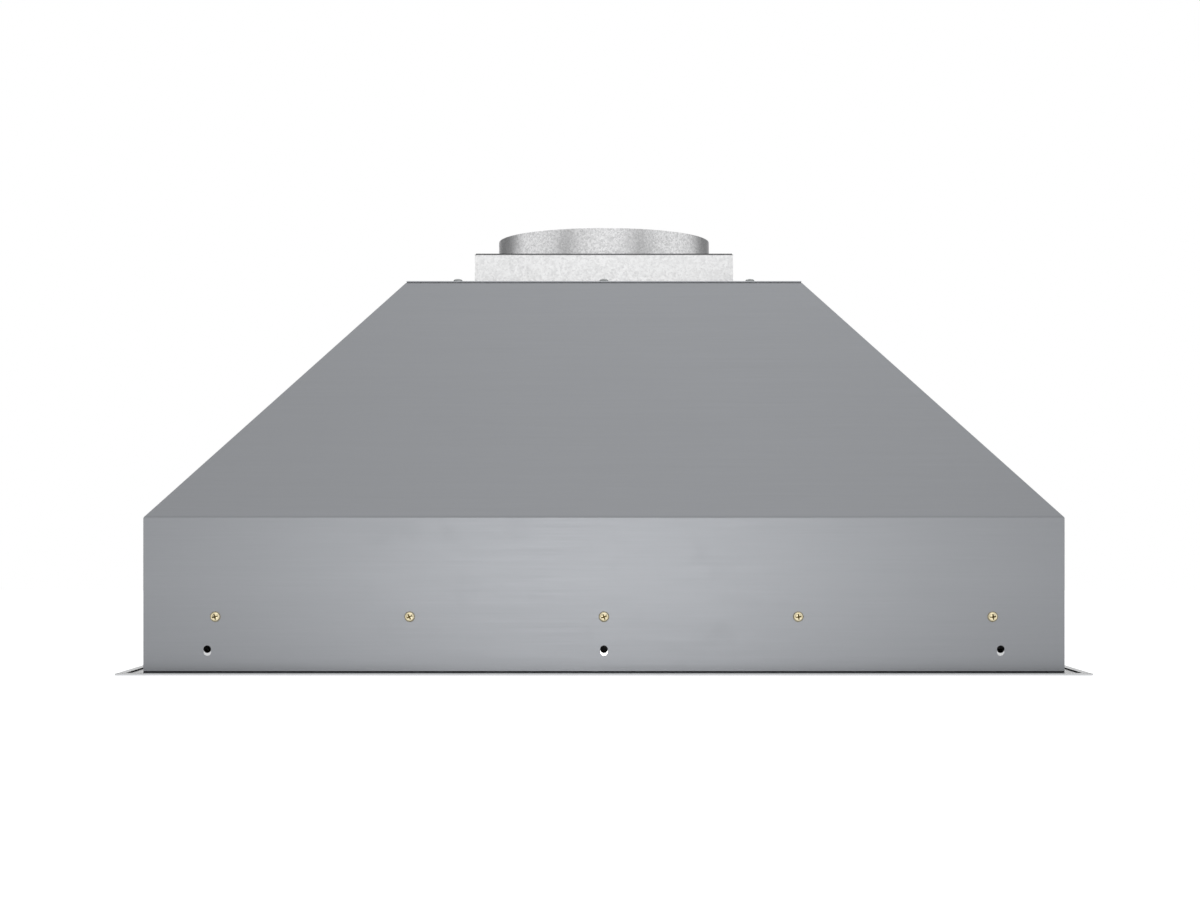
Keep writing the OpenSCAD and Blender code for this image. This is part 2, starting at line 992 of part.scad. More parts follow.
module lamp_body() {
  body_r = lamp_r - lamp_gap;
  pitch = 2 * body_r / fin_count;
  color([0.7, 0.71, 0.72])
    at_lamp() {
      translate([0, 0, lens_up - lamp_ring_t + lens_t])
        cylinder(r = body_r - lamp_wall - fit_gap, h = lamp_neck - lens_up + lamp_ring_t - lens_t + fit_gap);
      translate([0, 0, lamp_neck])
        cylinder(r = body_r, h = fin_base);
      intersection() {
        translate([0, 0, lamp_neck])
          cylinder(r = body_r, h = lamp_body_h);
        for (i = [0 : fin_count - 1])
          translate([(i - (fin_count - 1) / 2) * pitch - fin_t / 2, -body_r, lamp_neck + fin_base / 2])
            cube([fin_t, 2 * body_r, lamp_body_h]);
      }
    }
}

module lamp_bezel_left() {
  mirror([1, 0, 0])
    lamp_bezel();
}

module lamp_bezel_right() {
  lamp_bezel();
}

module lamp_lens_left() {
  mirror([1, 0, 0])
    lamp_lens();
}

module lamp_lens_right() {
  lamp_lens();
}

module lamp_body_left() {
  mirror([1, 0, 0])
    lamp_body();
}

module lamp_body_right() {
  lamp_body();
}

// Blower: the scroll opens out steadily from its tongue to the outlet, round the shaft
function scroll_r(a) = tongue_r + scroll_growth * (a - tongue_angle) / (spiral_end - tongue_angle);
spiral_angles = [for (i = [0 : 22]) tongue_angle + spiral_step * i];
spiral_in = [for (a = spiral_angles) polar(scroll_r(a), a)];
spiral_out = [for (i = [1 : 22]) polar(scroll_r(spiral_angles[i]) + sheet, spiral_angles[i])];
outlet_up = canopy_z - shaft_z;
tongue_out_y = tongue_y - sheet;
tongue_out_z = sqrt(pow(tongue_r + sheet, 2) - pow(tongue_out_y, 2));
wrap_inside = concat([[tongue_y, outlet_up]], spiral_in, [[outlet_r, outlet_up]]);
wrap_outside = concat([[tongue_out_y, outlet_up], [tongue_out_y, tongue_out_z]], spiral_out, [[outlet_r + sheet, outlet_up]]);

module at_shaft() {
  translate([0, shaft_y, shaft_z])
    children();
}

// Turns a piece that stands on Z so that it lies along the shaft
module on_shaft(x) {
  at_shaft()
    translate([x, 0, 0])
      rotate([0, 90, 0])
        children();
}

module scroll_wrap() {
  color(galvanised)
    at_shaft()
      along_x(outlet_w)
        polygon(concat(wrap_inside, backwards(wrap_outside)));
}

module scroll_side() {
  color(galvanised)
    difference() {
      union() {
        at_shaft()
          translate([(scroll_w - sheet) / 2, 0, 0])
            along_x(sheet)
              polygon(wrap_outside);
        translate([scroll_w / 2 - sheet, -(outlet_r - tongue_y) / 2, canopy_z - sheet])
          cube([scroll_lip + sheet, outlet_r - tongue_y, sheet]);
      }
      on_shaft(scroll_w / 2 - sheet - over)
        cylinder(r = inlet_r, h = sheet + 2 * over);
      at_outlet_lips()
        through(screw_hole_r, plate_t + sheet);
      at_bracket_screws()
        through(rivet_hole_r, bracket_t + bell_t + sheet);
    }
}

module inlet_bell() {
  throat = inlet_r - bell_fit;
  inner = inlet_r - bell_throat;
  color(galvanised)
    difference() {
      on_shaft(scroll_w / 2)
        rotate_extrude()
          polygon([
            [inner, -bell_depth], [inner + bell_t, -bell_depth], [inner + 2 * bell_t, -bell_depth / 2],
            [throat, -sheet], [throat, 0], [inlet_r + bell_foot, 0], [inlet_r + bell_foot, bell_t],
            [throat - bell_t, bell_t], [inner + bell_t, -bell_depth / 2 + bell_t], [inner, -bell_depth + bell_t]
          ]);
      at_bracket_screws()
        through(rivet_hole_r, bracket_t + bell_t + sheet);
    }
}

module at_bracket_screws() {
  for (i = [0 : arm_count - 1])
    at_shaft()
      rotate([360 * i / arm_count, 0, 0])
        translate([bracket_x + bracket_t, 0, inlet_r + bell_foot / 2])
          rotate([0, 90, 0])
            children();
}

module scroll_side_left() {
  mirror([1, 0, 0])
    scroll_side();
}

module scroll_side_right() {
  scroll_side();
}

module inlet_bell_left() {
  mirror([1, 0, 0])
    inlet_bell();
}

module inlet_bell_right() {
  inlet_bell();
}

// A forward curved blade, as the points of its section
function blade_face(r_shift) = [
  for (i = [0 : blade_steps])
    let (t = i / blade_steps)
    polar(impeller_r - blade_edge - blade_in * (1 - t), blade_sweep * (t * t - t / 2)) + [0, r_shift]
];

module impeller() {
  end_x = impeller_w / 2;
  color(galvanised)
    difference() {
      union() {
        on_shaft(-disc_t / 2)
          cylinder(r = impeller_r - blade_edge, h = disc_t);
        on_shaft(-hub_l / 2)
          cylinder(r = hub_r, h = hub_l);
        for (x = [-end_x, end_x - ring_t])
          on_shaft(x)
            difference() {
              cylinder(r = impeller_r, h = ring_t);
              translate([0, 0, -over])
                cylinder(r = impeller_r - ring_in, h = ring_t + 2 * over);
            }
        on_shaft(0)
          for (i = [0 : blade_count - 1])
            rotate(360 * i / blade_count)
              linear_extrude(impeller_w - 2 * blade_inset, center = true)
                polygon(concat(blade_face(0), backwards(blade_face(blade_t))));
      }
      on_shaft(-hub_l)
        cylinder(r = shaft_r + fit_gap, h = 2 * hub_l);
    }
}

module motor_shaft() {
  start = -hub_l / 2 - nut_t - shaft_out;
  color(stainless)
    on_shaft(start)
      cylinder(r = shaft_r, h = bracket_x - shaft_in - start);
}

module impeller_nut() {
  color(zinc_yellow)
    on_shaft(-hub_l / 2 - nut_t)
      difference() {
        cylinder(r = nut_r, h = nut_t, $fn = 6);
        translate([0, 0, -over])
          cylinder(r = shaft_r + fit_gap, h = nut_t + 2 * over);
      }
}

module motor_body() {
  color([0.32, 0.33, 0.35])
    on_shaft(motor_x)
      rotate_extrude()
        polygon([
          [shaft_r + running_gap, 0], [motor_boss_r, 0], [motor_boss_r, motor_boss_h],
          [motor_r - motor_waist, motor_boss_h], [motor_r - motor_waist, motor_band],
          [motor_r, motor_band], [motor_r, motor_l - motor_band],
          [motor_r - motor_waist, motor_l - motor_band], [motor_r - motor_waist, motor_l],
          [0, motor_l], [0, motor_l - bore_end], [shaft_r + running_gap, motor_l - bore_end]
        ]);
}

module motor_bracket() {
  reach = inlet_r + bracket_reach;
  color(galvanised)
    difference() {
      union() {
        on_shaft(bracket_x)
          cylinder(r = bracket_hub, h = bracket_t);
        at_shaft()
          for (i = [0 : arm_count - 1])
            rotate([360 * i / arm_count, 0, 0])
              translate([bracket_x, -bracket_arm / 2, 0])
                cube([bracket_t, bracket_arm, reach]);
      }
      at_bracket_screws()
        through(rivet_hole_r, bracket_t);
    }
}

module bracket_screws() {
  color(zinc_yellow)
    at_bracket_screws()
      rivet(bracket_t + bell_t + sheet + rivet_head_h);
}

module blower_screws() {
  color(zinc_yellow)
    both_sides()
      at_outlet_lips()
        translate([0, 0, -plate_t - sheet])
          mirror([0, 0, 1])
            pan_screw(plate_t + sheet);
}

// Wiring box under the top plate, right of the blower
module at_junction() {
  translate([junction_x, junction_y, 0])
    children();
}

junction_low = canopy_z - junction_h;

module junction_box() {
  color(galvanised)
    at_junction()
      difference() {
        block(junction_w, junction_d, junction_low, canopy_z);
        block(junction_w - 2 * junction_wall, junction_d - 2 * junction_wall, junction_low - over, canopy_z - junction_wall);
        translate([0, bushing_y, canopy_z])
          through(bushing_r, junction_wall);
      }
}

module junction_cover() {
  in_w = junction_w - 2 * junction_wall - 2 * fit_gap;
  in_d = junction_d - 2 * junction_wall - 2 * fit_gap;
  color(galvanised)
    at_junction() {
      block(junction_w, junction_d, junction_low - junction_wall, junction_low);
      difference() {
        block(in_w, in_d, junction_low - junction_wall, junction_low + cover_lip);
        block(in_w - 2 * junction_wall, in_d - 2 * junction_wall, junction_low, junction_low + cover_lip + over);
      }
    }
}

module terminal_block() {
  top = canopy_z - junction_wall;
  color([0.9, 0.88, 0.82])
    translate([junction_x - junction_w / 2 + junction_wall + inside_gap + block_w / 2, junction_y - junction_d / 2 + inside_gap + block_d / 2 + junction_wall, 0])
      difference() {
        block(block_w, block_d, top - block_h, top);
        for (i = [-1 : 1])
          translate([0, i * block_way, top - block_h])
            through(block_screw_r, block_screw_r);
      }
}

module capacitor() {
  top = canopy_z - junction_wall;
  color([0.85, 0.86, 0.88])
    translate([junction_x + junction_w / 2 - junction_wall - inside_gap - cap_w / 2, junction_y - junction_d / 2 + inside_gap + cap_d / 2 + junction_wall, 0])
      block(cap_w, cap_d, top - cap_h, top);
}

module cable_bushing() {
  neck = bushing_r - fit_gap;
  color([0.12, 0.12, 0.12])
    translate([junction_x, junction_y + bushing_y, plate_z])
      rotate_extrude()
        polygon([
          [bushing_hole_r, -plate_t - junction_wall], [neck, -plate_t - junction_wall], [neck, 0],
          [bushing_r + bushing_rim, 0], [bushing_r + bushing_rim / 2, bushing_up], [bushing_hole_r, bushing_up]
        ]);
}

liner();
front_panel();
rear_panel();
left_panel();
right_panel();
top_plate();
adapter_box();
collar_plate();
duct_collar();
damper_rod();
damper_flap_front();
damper_flap_rear();
collar_rivets();
adapter_screws();
top_plate_screws();
liner_screws();
front_strip();
rear_ledge();
filter_frame_left();
filter_frame_right();
filter_baffles_left();
filter_baffles_right();
filter_handle_left();
filter_handle_right();
filter_clips();
button_bezel();
button(-2);  // button_1
button(-1);  // button_2
button(0);  // button_3
button(1);  // button_4
button(2);  // button_5
switch_board();
switch_housing();
lamp_bezel_left();
lamp_bezel_right();
lamp_lens_left();
lamp_lens_right();
lamp_body_left();
lamp_body_right();
scroll_wrap();
scroll_side_left();
scroll_side_right();
inlet_bell_left();
inlet_bell_right();
impeller();
motor_shaft();
impeller_nut();
motor_body();
motor_bracket();
bracket_screws();
blower_screws();
junction_box();
junction_cover();
terminal_block();
capacitor();
cable_bushing();
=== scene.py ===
import math
import random

import bpy
from mathutils import Matrix, Vector


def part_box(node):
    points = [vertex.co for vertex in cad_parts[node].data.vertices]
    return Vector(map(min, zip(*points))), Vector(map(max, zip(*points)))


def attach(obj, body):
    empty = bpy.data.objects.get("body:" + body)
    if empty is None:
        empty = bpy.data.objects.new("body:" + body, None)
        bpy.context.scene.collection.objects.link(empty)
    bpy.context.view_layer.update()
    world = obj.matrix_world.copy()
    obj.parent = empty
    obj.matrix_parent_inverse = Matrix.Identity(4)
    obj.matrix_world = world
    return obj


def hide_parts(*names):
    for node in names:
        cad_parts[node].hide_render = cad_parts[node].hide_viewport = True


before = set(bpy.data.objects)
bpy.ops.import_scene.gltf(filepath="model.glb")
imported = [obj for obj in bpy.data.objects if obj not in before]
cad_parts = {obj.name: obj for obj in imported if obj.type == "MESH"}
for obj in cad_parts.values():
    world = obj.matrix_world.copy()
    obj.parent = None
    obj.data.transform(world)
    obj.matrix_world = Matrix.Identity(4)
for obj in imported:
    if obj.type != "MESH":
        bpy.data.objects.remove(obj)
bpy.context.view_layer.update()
bpy.ops.object.select_all(action="DESELECT")

# Camera
# A level view from the front at about a third of the body's height, with a long lens. The lens
# is shifted upwards, so that the walls stay upright and the body sits in the lower half.
EYE_HEIGHT = 0.1095
EYE_BACK = 1.694
bpy.ops.object.camera_add(location=(0, -EYE_BACK, EYE_HEIGHT), rotation=(math.pi / 2, 0, 0))
camera = bpy.context.object
camera.name = "photo_camera"
camera.data.sensor_width = 36
camera.data.lens = 59.85
camera.data.shift_x = -0.0033
camera.data.shift_y = 0.0625
camera.data.clip_start = 0.05
camera.data.clip_end = 60
bpy.context.scene.camera = camera

# Studio
# The hood hangs over a white floor that is clear from below, with room for its filters to swing
# down. A wide soft lamp hangs over it, one stands behind it and a small one behind the camera.
FLOOR_DROP = 0.34
FLOOR_MIRRORED = 0.42
FLOOR_SEEN = 0.25
SKY_FILL = 0.7
OVERHEAD_SHADE = 0.5


def math_node(tree, operation, first, second=0):
    node = tree.nodes.new("ShaderNodeMath")
    node.operation = operation
    for slot_index, value in ((0, first), (1, second)):
        if isinstance(value, (int, float)):
            node.inputs[slot_index].default_value = value
        else:
            tree.links.new(value, node.inputs[slot_index])
    return node.outputs[0]


def remap(tree, value, low, high, to_low, to_high):
    node = tree.nodes.new("ShaderNodeMapRange")
    node.inputs["From Min"].default_value = low
    node.inputs["From Max"].default_value = high
    node.inputs["To Min"].default_value = to_low
    node.inputs["To Max"].default_value = to_high
    tree.links.new(value, node.inputs["Value"])
    return node.outputs["Result"]


def parts_of(tree, vector):
    node = tree.nodes.new("ShaderNodeSeparateXYZ")
    tree.links.new(vector, node.inputs["Vector"])
    return node.outputs


def cleared_tree(owner):
    owner.use_nodes = True
    owner.node_tree.nodes.clear()
    return owner.node_tree


def seen_or_mirrored(tree, ray):
    seen = math_node(tree, "MAXIMUM", ray.outputs["Is Camera Ray"], ray.outputs["Is Glossy Ray"])
    return math_node(tree, "MAXIMUM", seen, ray.outputs["Is Transmission Ray"])


def chosen_shader(tree, choice, first, second):
    node = tree.nodes.new("ShaderNodeMixShader")
    tree.links.new(choice, node.inputs["Fac"])
    tree.links.new(first.outputs[0], node.inputs[1])
    tree.links.new(second.outputs[0], node.inputs[2])
    return node.outputs[0]


# Surroundings: white where they are seen or mirrored, but greyer straight overhead in mirrors,
# and a weaker fill light for all else
world = bpy.data.worlds.new("white studio")
bpy.context.scene.world = world
tree = cleared_tree(world)
ray = tree.nodes.new("ShaderNodeLightPath")
heading = tree.nodes.new("ShaderNodeTexCoord")
steepness = math_node(tree, "ABSOLUTE", parts_of(tree, heading.outputs["Generated"])["Z"])
overhead = remap(tree, steepness, 0.87, 0.97, 0, OVERHEAD_SHADE)
mirrored_shade = math_node(tree, "MULTIPLY", overhead, ray.outputs["Is Glossy Ray"])
white_sky = tree.nodes.new("ShaderNodeBackground")
white_sky.inputs["Color"].default_value = (1, 1, 1, 1)
tree.links.new(math_node(tree, "SUBTRACT", 1, mirrored_shade), white_sky.inputs["Strength"])
fill_sky = tree.nodes.new("ShaderNodeBackground")
fill_sky.inputs["Color"].default_value = (0.97, 0.985, 1, 1)
fill_sky.inputs["Strength"].default_value = SKY_FILL
surroundings = tree.nodes.new("ShaderNodeOutputWorld")
sky = chosen_shader(tree, seen_or_mirrored(tree, ray), fill_sky, white_sky)
tree.links.new(sky, surroundings.inputs["Surface"])

# Floor: matt white, lifted to full white where it is seen or mirrored
bpy.ops.mesh.primitive_grid_add(x_subdivisions=4, y_subdivisions=4, size=24, location=(0, 0, -FLOOR_DROP))
studio_floor = bpy.context.object
studio_floor.name = "studio_floor"
floor_white = bpy.data.materials.new("white floor")
tree = cleared_tree(floor_white)
ray = tree.nodes.new("ShaderNodeLightPath")
floor_matt = tree.nodes.new("ShaderNodeBsdfDiffuse")
floor_matt.inputs["Color"].default_value = (0.8, 0.8, 0.8, 1)
floor_lift = tree.nodes.new("ShaderNodeEmission")
lift_mirrored = math_node(tree, "MULTIPLY", seen_or_mirrored(tree, ray), FLOOR_MIRRORED)
lift_seen = math_node(tree, "MULTIPLY", ray.outputs["Is Camera Ray"], FLOOR_SEEN)
tree.links.new(math_node(tree, "ADD", lift_seen, lift_mirrored), floor_lift.inputs["Strength"])
floor_both = tree.nodes.new("ShaderNodeAddShader")
tree.links.new(floor_matt.outputs[0], floor_both.inputs[0])
tree.links.new(floor_lift.outputs[0], floor_both.inputs[1])
floor_clear = tree.nodes.new("ShaderNodeBsdfTransparent")
floor_side = tree.nodes.new("ShaderNodeNewGeometry")
floor_look = chosen_shader(tree, floor_side.outputs["Backfacing"], floor_both, floor_clear)
floor_out = tree.nodes.new("ShaderNodeOutputMaterial")
tree.links.new(floor_look, floor_out.inputs["Surface"])
studio_floor.data.materials.append(floor_white)


def softbox(name, place, target, width, height, power):
    bpy.ops.object.light_add(type="AREA", location=place)
    lamp = bpy.context.object
    lamp.name = name
    lamp.data.shape = "RECTANGLE"
    lamp.data.size = width
    lamp.data.size_y = height
    lamp.data.energy = power
    aim = Vector(target) - Vector(place)
    lamp.rotation_euler = aim.to_track_quat("-Z", "Y").to_euler()


softbox("overhead_softbox", (-0.1, -0.1, 2.5), (0, 0, 0.1), 3.2, 2.2, 13)
softbox("camera_softbox", (-0.02, -2.5, 0.06), (0, -0.2, 0.06), 0.5, 0.2, 4)
softbox("rear_softbox", (0.2, 2.0, 1.9), (0, 0, 0.1), 2.2, 1.5, 9)

# Cloths: dark grey, standing in front and hanging higher behind. They only show in the hood's
# metal, as the dark bands that give a round surface its shape.
CLOTH_GREY = 0.13
CLOTH_TOP = 2.2
HUNG_BOTTOM = 0.5
flag_cloth = bpy.data.materials.new("dark grey flag cloth")
flag_cloth.use_nodes = True
cloth_shader = flag_cloth.node_tree.nodes["Principled BSDF"]
cloth_shader.inputs["Base Color"].default_value = (CLOTH_GREY, CLOTH_GREY, CLOTH_GREY, 1)
cloth_shader.inputs["Roughness"].default_value = 0.95


def flag(name, heading, distance, width, bottom):
    turn = math.radians(heading)
    place = (distance * math.sin(turn), -distance * math.cos(turn), (CLOTH_TOP + bottom) / 2)
    bpy.ops.mesh.primitive_grid_add(
        x_subdivisions=6, y_subdivisions=6, size=1, location=place, rotation=(math.pi / 2, 0, turn)
    )
    cloth = bpy.context.object
    cloth.name = name
    cloth.scale = (width, CLOTH_TOP - bottom, 1)
    cloth.data.materials.append(flag_cloth)
    cloth.visible_camera = False
    cloth.visible_diffuse = False
    cloth.visible_shadow = False


flag("flag_front_left", -44, 2.0, 0.4, -FLOOR_DROP)
flag("flag_front_right", 42, 2.0, 0.36, -FLOOR_DROP)
flag("flag_rear_left", -138, 2.2, 1.8, HUNG_BOTTOM)
flag("flag_rear_right", 143, 2.2, 1.5, HUNG_BOTTOM)
bpy.context.scene.view_settings.view_transform = "Standard"

# Body of grey steel
# Four cold rolled sheets, each bent once at the crease and once at the lip, and a flat top plate,
# with a satin grey brushed finish. The grain runs along the width of each sheet.
GREY_DARK = (0.281, 0.289, 0.303)
GREY_LIGHT = (0.293, 0.301, 0.316)
# Painted shade: the dark grey that the walls are darkened towards at their foot and along the crease
GREY_PAINTED_SHADE = (0.1, 0.104, 0.112)
CREASE_Z = 0.115


def new_group(name, inputs, outputs):
    group = bpy.data.node_groups.new(name, "ShaderNodeTree")
    for label, kind in inputs:
        group.interface.new_socket(label, in_out="INPUT", socket_type=kind)
    for label in outputs:
        group.interface.new_socket(label, in_out="OUTPUT", socket_type="NodeSocketFloat")
    return group, group.nodes.new("NodeGroupInput"), group.nodes.new("NodeGroupOutput")


def noise(tree, vector, scale, detail=2, rough=0.5):
    texture = tree.nodes.new("ShaderNodeTexNoise")
    texture.inputs["Scale"].default_value = scale
    texture.inputs["Detail"].default_value = detail
    texture.inputs["Roughness"].default_value = rough
    tree.links.new(vector, texture.inputs["Vector"])
    return texture.outputs["Fac"]


# Grain: short strokes along one direction, told by the mapping, and slow clouds over the sheet
GRAIN, grain_in, grain_out = new_group(
    "brushed grain", [("Strokes", "NodeSocketVector"), ("Place", "NodeSocketVector")], ["Tone", "Cloud"]
)
fine_strokes = noise(GRAIN, grain_in.outputs["Strokes"], 1, 3, 0.6)
broad_strokes = noise(GRAIN, grain_in.outputs["Strokes"], 0.21)
fine_share = math_node(GRAIN, "MULTIPLY", fine_strokes, 0.6)
broad_share = math_node(GRAIN, "MULTIPLY", broad_strokes, 0.4)
GRAIN.links.new(math_node(GRAIN, "ADD", fine_share, broad_share), grain_out.inputs["Tone"])
GRAIN.links.new(noise(GRAIN, grain_in.outputs["Place"], 9, 3, 0.55), grain_out.inputs["Cloud"])

# Handling: faint finger smears and a few hairline scratches, as masks from 0 to 1
HANDLING, handling_in, handling_out = new_group(
    "handling marks", [("Place", "NodeSocketVector")], ["Smears", "Hairlines"]
)
handled_place = handling_in.outputs["Place"]
smear_field = noise(HANDLING, handled_place, 22, 4, 0.6)
HANDLING.links.new(remap(HANDLING, smear_field, 0.56, 0.74, 0, 1), handling_out.inputs["Smears"])
hairline_bend = HANDLING.nodes.new("ShaderNodeMapping")
hairline_bend.inputs["Scale"].default_value = (1, 1, 2.7)
hairline_field = HANDLING.nodes.new("ShaderNodeTexVoronoi")
hairline_field.feature = "DISTANCE_TO_EDGE"
hairline_field.inputs["Scale"].default_value = 11
HANDLING.links.new(handled_place, hairline_bend.inputs["Vector"])
HANDLING.links.new(hairline_bend.outputs["Vector"], hairline_field.inputs["Vector"])
hairline_thin = remap(HANDLING, hairline_field.outputs["Distance"], 0, 0.004, 1, 0)
hairline_some = remap(HANDLING, noise(HANDLING, handled_place, 31), 0.58, 0.66, 0, 1)
hairlines = math_node(HANDLING, "MULTIPLY", hairline_thin, hairline_some)
HANDLING.links.new(hairlines, handling_out.inputs["Hairlines"])


def group_node(tree, group):
    node = tree.nodes.new("ShaderNodeGroup")
    node.node_tree = group
    return node


def mapped_place(tree, scale=(1, 1, 1), move=(0, 0, 0)):
    place = tree.nodes.new("ShaderNodeTexCoord")
    mapping = tree.nodes.new("ShaderNodeMapping")
    mapping.inputs["Scale"].default_value = scale
    mapping.inputs["Location"].default_value = move
    tree.links.new(place.outputs["Object"], mapping.inputs["Vector"])
    return mapping.outputs["Vector"]


def mix_colour(tree, factor, first, second):
    node = tree.nodes.new("ShaderNodeMix")
    node.data_type = "RGBA"
    for socket, value in ((node.inputs["A"], first), (node.inputs["B"], second)):
        if isinstance(value, tuple):
            socket.default_value = (*value, 1)
        else:
            tree.links.new(value, socket)
    tree.links.new(factor, node.inputs["Factor"])
    return node.outputs["Result"]


def bump(tree, height, distance):
    node = tree.nodes.new("ShaderNodeBump")
    node.inputs["Distance"].default_value = distance
    tree.links.new(height, node.inputs["Height"])
    return node.outputs["Normal"]


def dress(tree, shader, colour, gloss, height, depth):
    tree.links.new(colour, shader.inputs["Base Color"])
    tree.links.new(gloss, shader.inputs["Roughness"])
    tree.links.new(bump(tree, height, depth), shader.inputs["Normal"])


def blank_material(name, metallic, rough):
    material = bpy.data.materials.new(name)
    material.use_nodes = True
    shader = material.node_tree.nodes["Principled BSDF"]
    shader.inputs["Metallic"].default_value = metallic
    shader.inputs["Roughness"].default_value = rough
    shader.inputs["IOR"].default_value = 1.45
    return material, material.node_tree, shader


def brushed_metal(name, dark, light, rough, stroke_scale, grain_depth=0.00001, unevenness=0.05):
    material, tree, shader = blank_material(name, 1, rough)
    grain = group_node(tree, GRAIN)
    marks = group_node(tree, HANDLING)
    tree.links.new(mapped_place(tree, stroke_scale), grain.inputs["Strokes"])
    place = mapped_place(tree)
    tree.links.new(place, grain.inputs["Place"])
    tree.links.new(place, marks.inputs["Place"])
    stroked = mix_colour(tree, remap(tree, grain.outputs["Tone"], 0.3, 0.7, 0, 1), dark, light)
    clouded = mix_colour(tree, remap(tree, grain.outputs["Cloud"], 0.35, 0.65, 0, 0.35), stroked, dark)
    smear_tone = math_node(tree, "MULTIPLY", marks.outputs["Smears"], 0.1)
    colour = mix_colour(tree, smear_tone, clouded, dark)
    sheen = remap(tree, grain.outputs["Tone"], 0.3, 0.7, rough + unevenness, rough - unevenness)
    smear_dulling = math_node(tree, "MULTIPLY", marks.outputs["Smears"], unevenness)
    scratch_shine = math_node(tree, "MULTIPLY", marks.outputs["Hairlines"], 2 * unevenness)
    smeared = math_node(tree, "ADD", sheen, smear_dulling)
    gloss = math_node(tree, "SUBTRACT", smeared, scratch_shine)
    dress(tree, shader, colour, gloss, grain.outputs["Tone"], grain_depth)
    return material


def finish_node(names, material):
    for name in names:
        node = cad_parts[name]
        node.data.materials.clear()
        node.data.materials.append(material)


def satin_grey(name, stroke_scale):
    material = brushed_metal(name, GREY_DARK, GREY_LIGHT, 0.4, stroke_scale, 0.000003, 0.02)
    tree = material.node_tree
    shader = tree.nodes["Principled BSDF"]
    unshaded_grey = shader.inputs["Base Color"].links[0].from_socket
    height = parts_of(tree, mapped_place(tree))["Z"]
    # Painted shade: the walls below the crease get darker towards the bottom, and a thin dark line is painted
    # along the crease
    foot_painted_shade = remap(tree, height, 0, 0.07, 0.24, 0.07)
    below_crease = remap(tree, height, CREASE_Z - 0.001, CREASE_Z + 0.001, 1, 0)
    from_crease = math_node(tree, "ABSOLUTE", math_node(tree, "SUBTRACT", height, CREASE_Z + 0.0005))
    crease_painted_shade = remap(tree, from_crease, 0, 0.0012, 0.16, 0)
    wall_painted_shade = math_node(tree, "MULTIPLY", foot_painted_shade, below_crease)
    painted_shade_amount = math_node(tree, "ADD", wall_painted_shade, crease_painted_shade)
    tree.links.new(mix_colour(tree, painted_shade_amount, unshaded_grey, GREY_PAINTED_SHADE), shader.inputs["Base Color"])
    return material


satin_grey_wide = satin_grey("satin grey, grain along the width", (30, 2400, 2400))
satin_grey_deep = satin_grey("satin grey, grain along the depth", (2400, 30, 2400))
finish_node(["front_panel", "rear_panel", "top_plate"], satin_grey_wide)
finish_node(["left_panel", "right_panel"], satin_grey_deep)

# Liner and flange
# One drawn and folded tray of brushed stainless steel. Its flange is hemmed back on itself along the
# outer edge and lies against the cabinet. The strip and ledge in it are folded from the same sheet.
STAINLESS_DARK = (0.5, 0.505, 0.51)
STAINLESS_LIGHT = (0.66, 0.665, 0.67)
GRAIN_WIDE = (24, 2600, 2600)
GRAIN_DEEP = (2600, 24, 2600)
stainless_wide = brushed_metal(
    "stainless, grain along the width", STAINLESS_DARK, STAINLESS_LIGHT, 0.3, GRAIN_WIDE
)
finish_node(["front_strip", "rear_ledge"], stainless_wide)
bright_stainless = brushed_metal(
    "bright stainless", (0.55, 0.555, 0.56), (0.6, 0.605, 0.61), 0.26, GRAIN_WIDE, 0.000001, 0.0
)
finish_node(["liner"], bright_stainless)

# Galvanised adapter, its lid and the wiring box
# Folded from hot dip galvanised sheet, whose zinc has frozen in pale flakes with darker specks
# between them. The lid's cut edges and the box's top rim are bare steel, painted near black as
# painted shade along the lid's joint.
ZINC_DARK = (0.69, 0.69, 0.69)
ZINC_LIGHT = (0.765, 0.765, 0.765)
FLAKE_SCALE = 700
# Height of the box's top rim, which is painted near black as painted shade
SHADED_RIM_Z = 0.3247
SPANGLE, spangle_in, spangle_out = new_group(
    "zinc flakes", [("Place", "NodeSocketVector"), ("Size", "NodeSocketFloat")], ["Flake", "Speck"]
)
flake_wobble = SPANGLE.nodes.new("ShaderNodeTexNoise")
flake_wobble.inputs["Scale"].default_value = 260
wobble_add = SPANGLE.nodes.new("ShaderNodeVectorMath")
wobble_add.operation = "MULTIPLY_ADD"
wobble_add.inputs[1].default_value = (0.0022, 0.0022, 0.0022)
flakes = SPANGLE.nodes.new("ShaderNodeTexVoronoi")
flake_tone = SPANGLE.nodes.new("ShaderNodeSeparateColor")
SPANGLE.links.new(spangle_in.outputs["Place"], flake_wobble.inputs["Vector"])
SPANGLE.links.new(flake_wobble.outputs["Color"], wobble_add.inputs[0])
SPANGLE.links.new(spangle_in.outputs["Place"], wobble_add.inputs[2])
SPANGLE.links.new(wobble_add.outputs[0], flakes.inputs["Vector"])
SPANGLE.links.new(spangle_in.outputs["Size"], flakes.inputs["Scale"])
SPANGLE.links.new(flakes.outputs["Color"], flake_tone.inputs["Color"])
SPANGLE.links.new(flake_tone.outputs[0], spangle_out.inputs["Flake"])
SPANGLE.links.new(noise(SPANGLE, spangle_in.outputs["Place"], 620, 3, 0.7), spangle_out.inputs["Speck"])


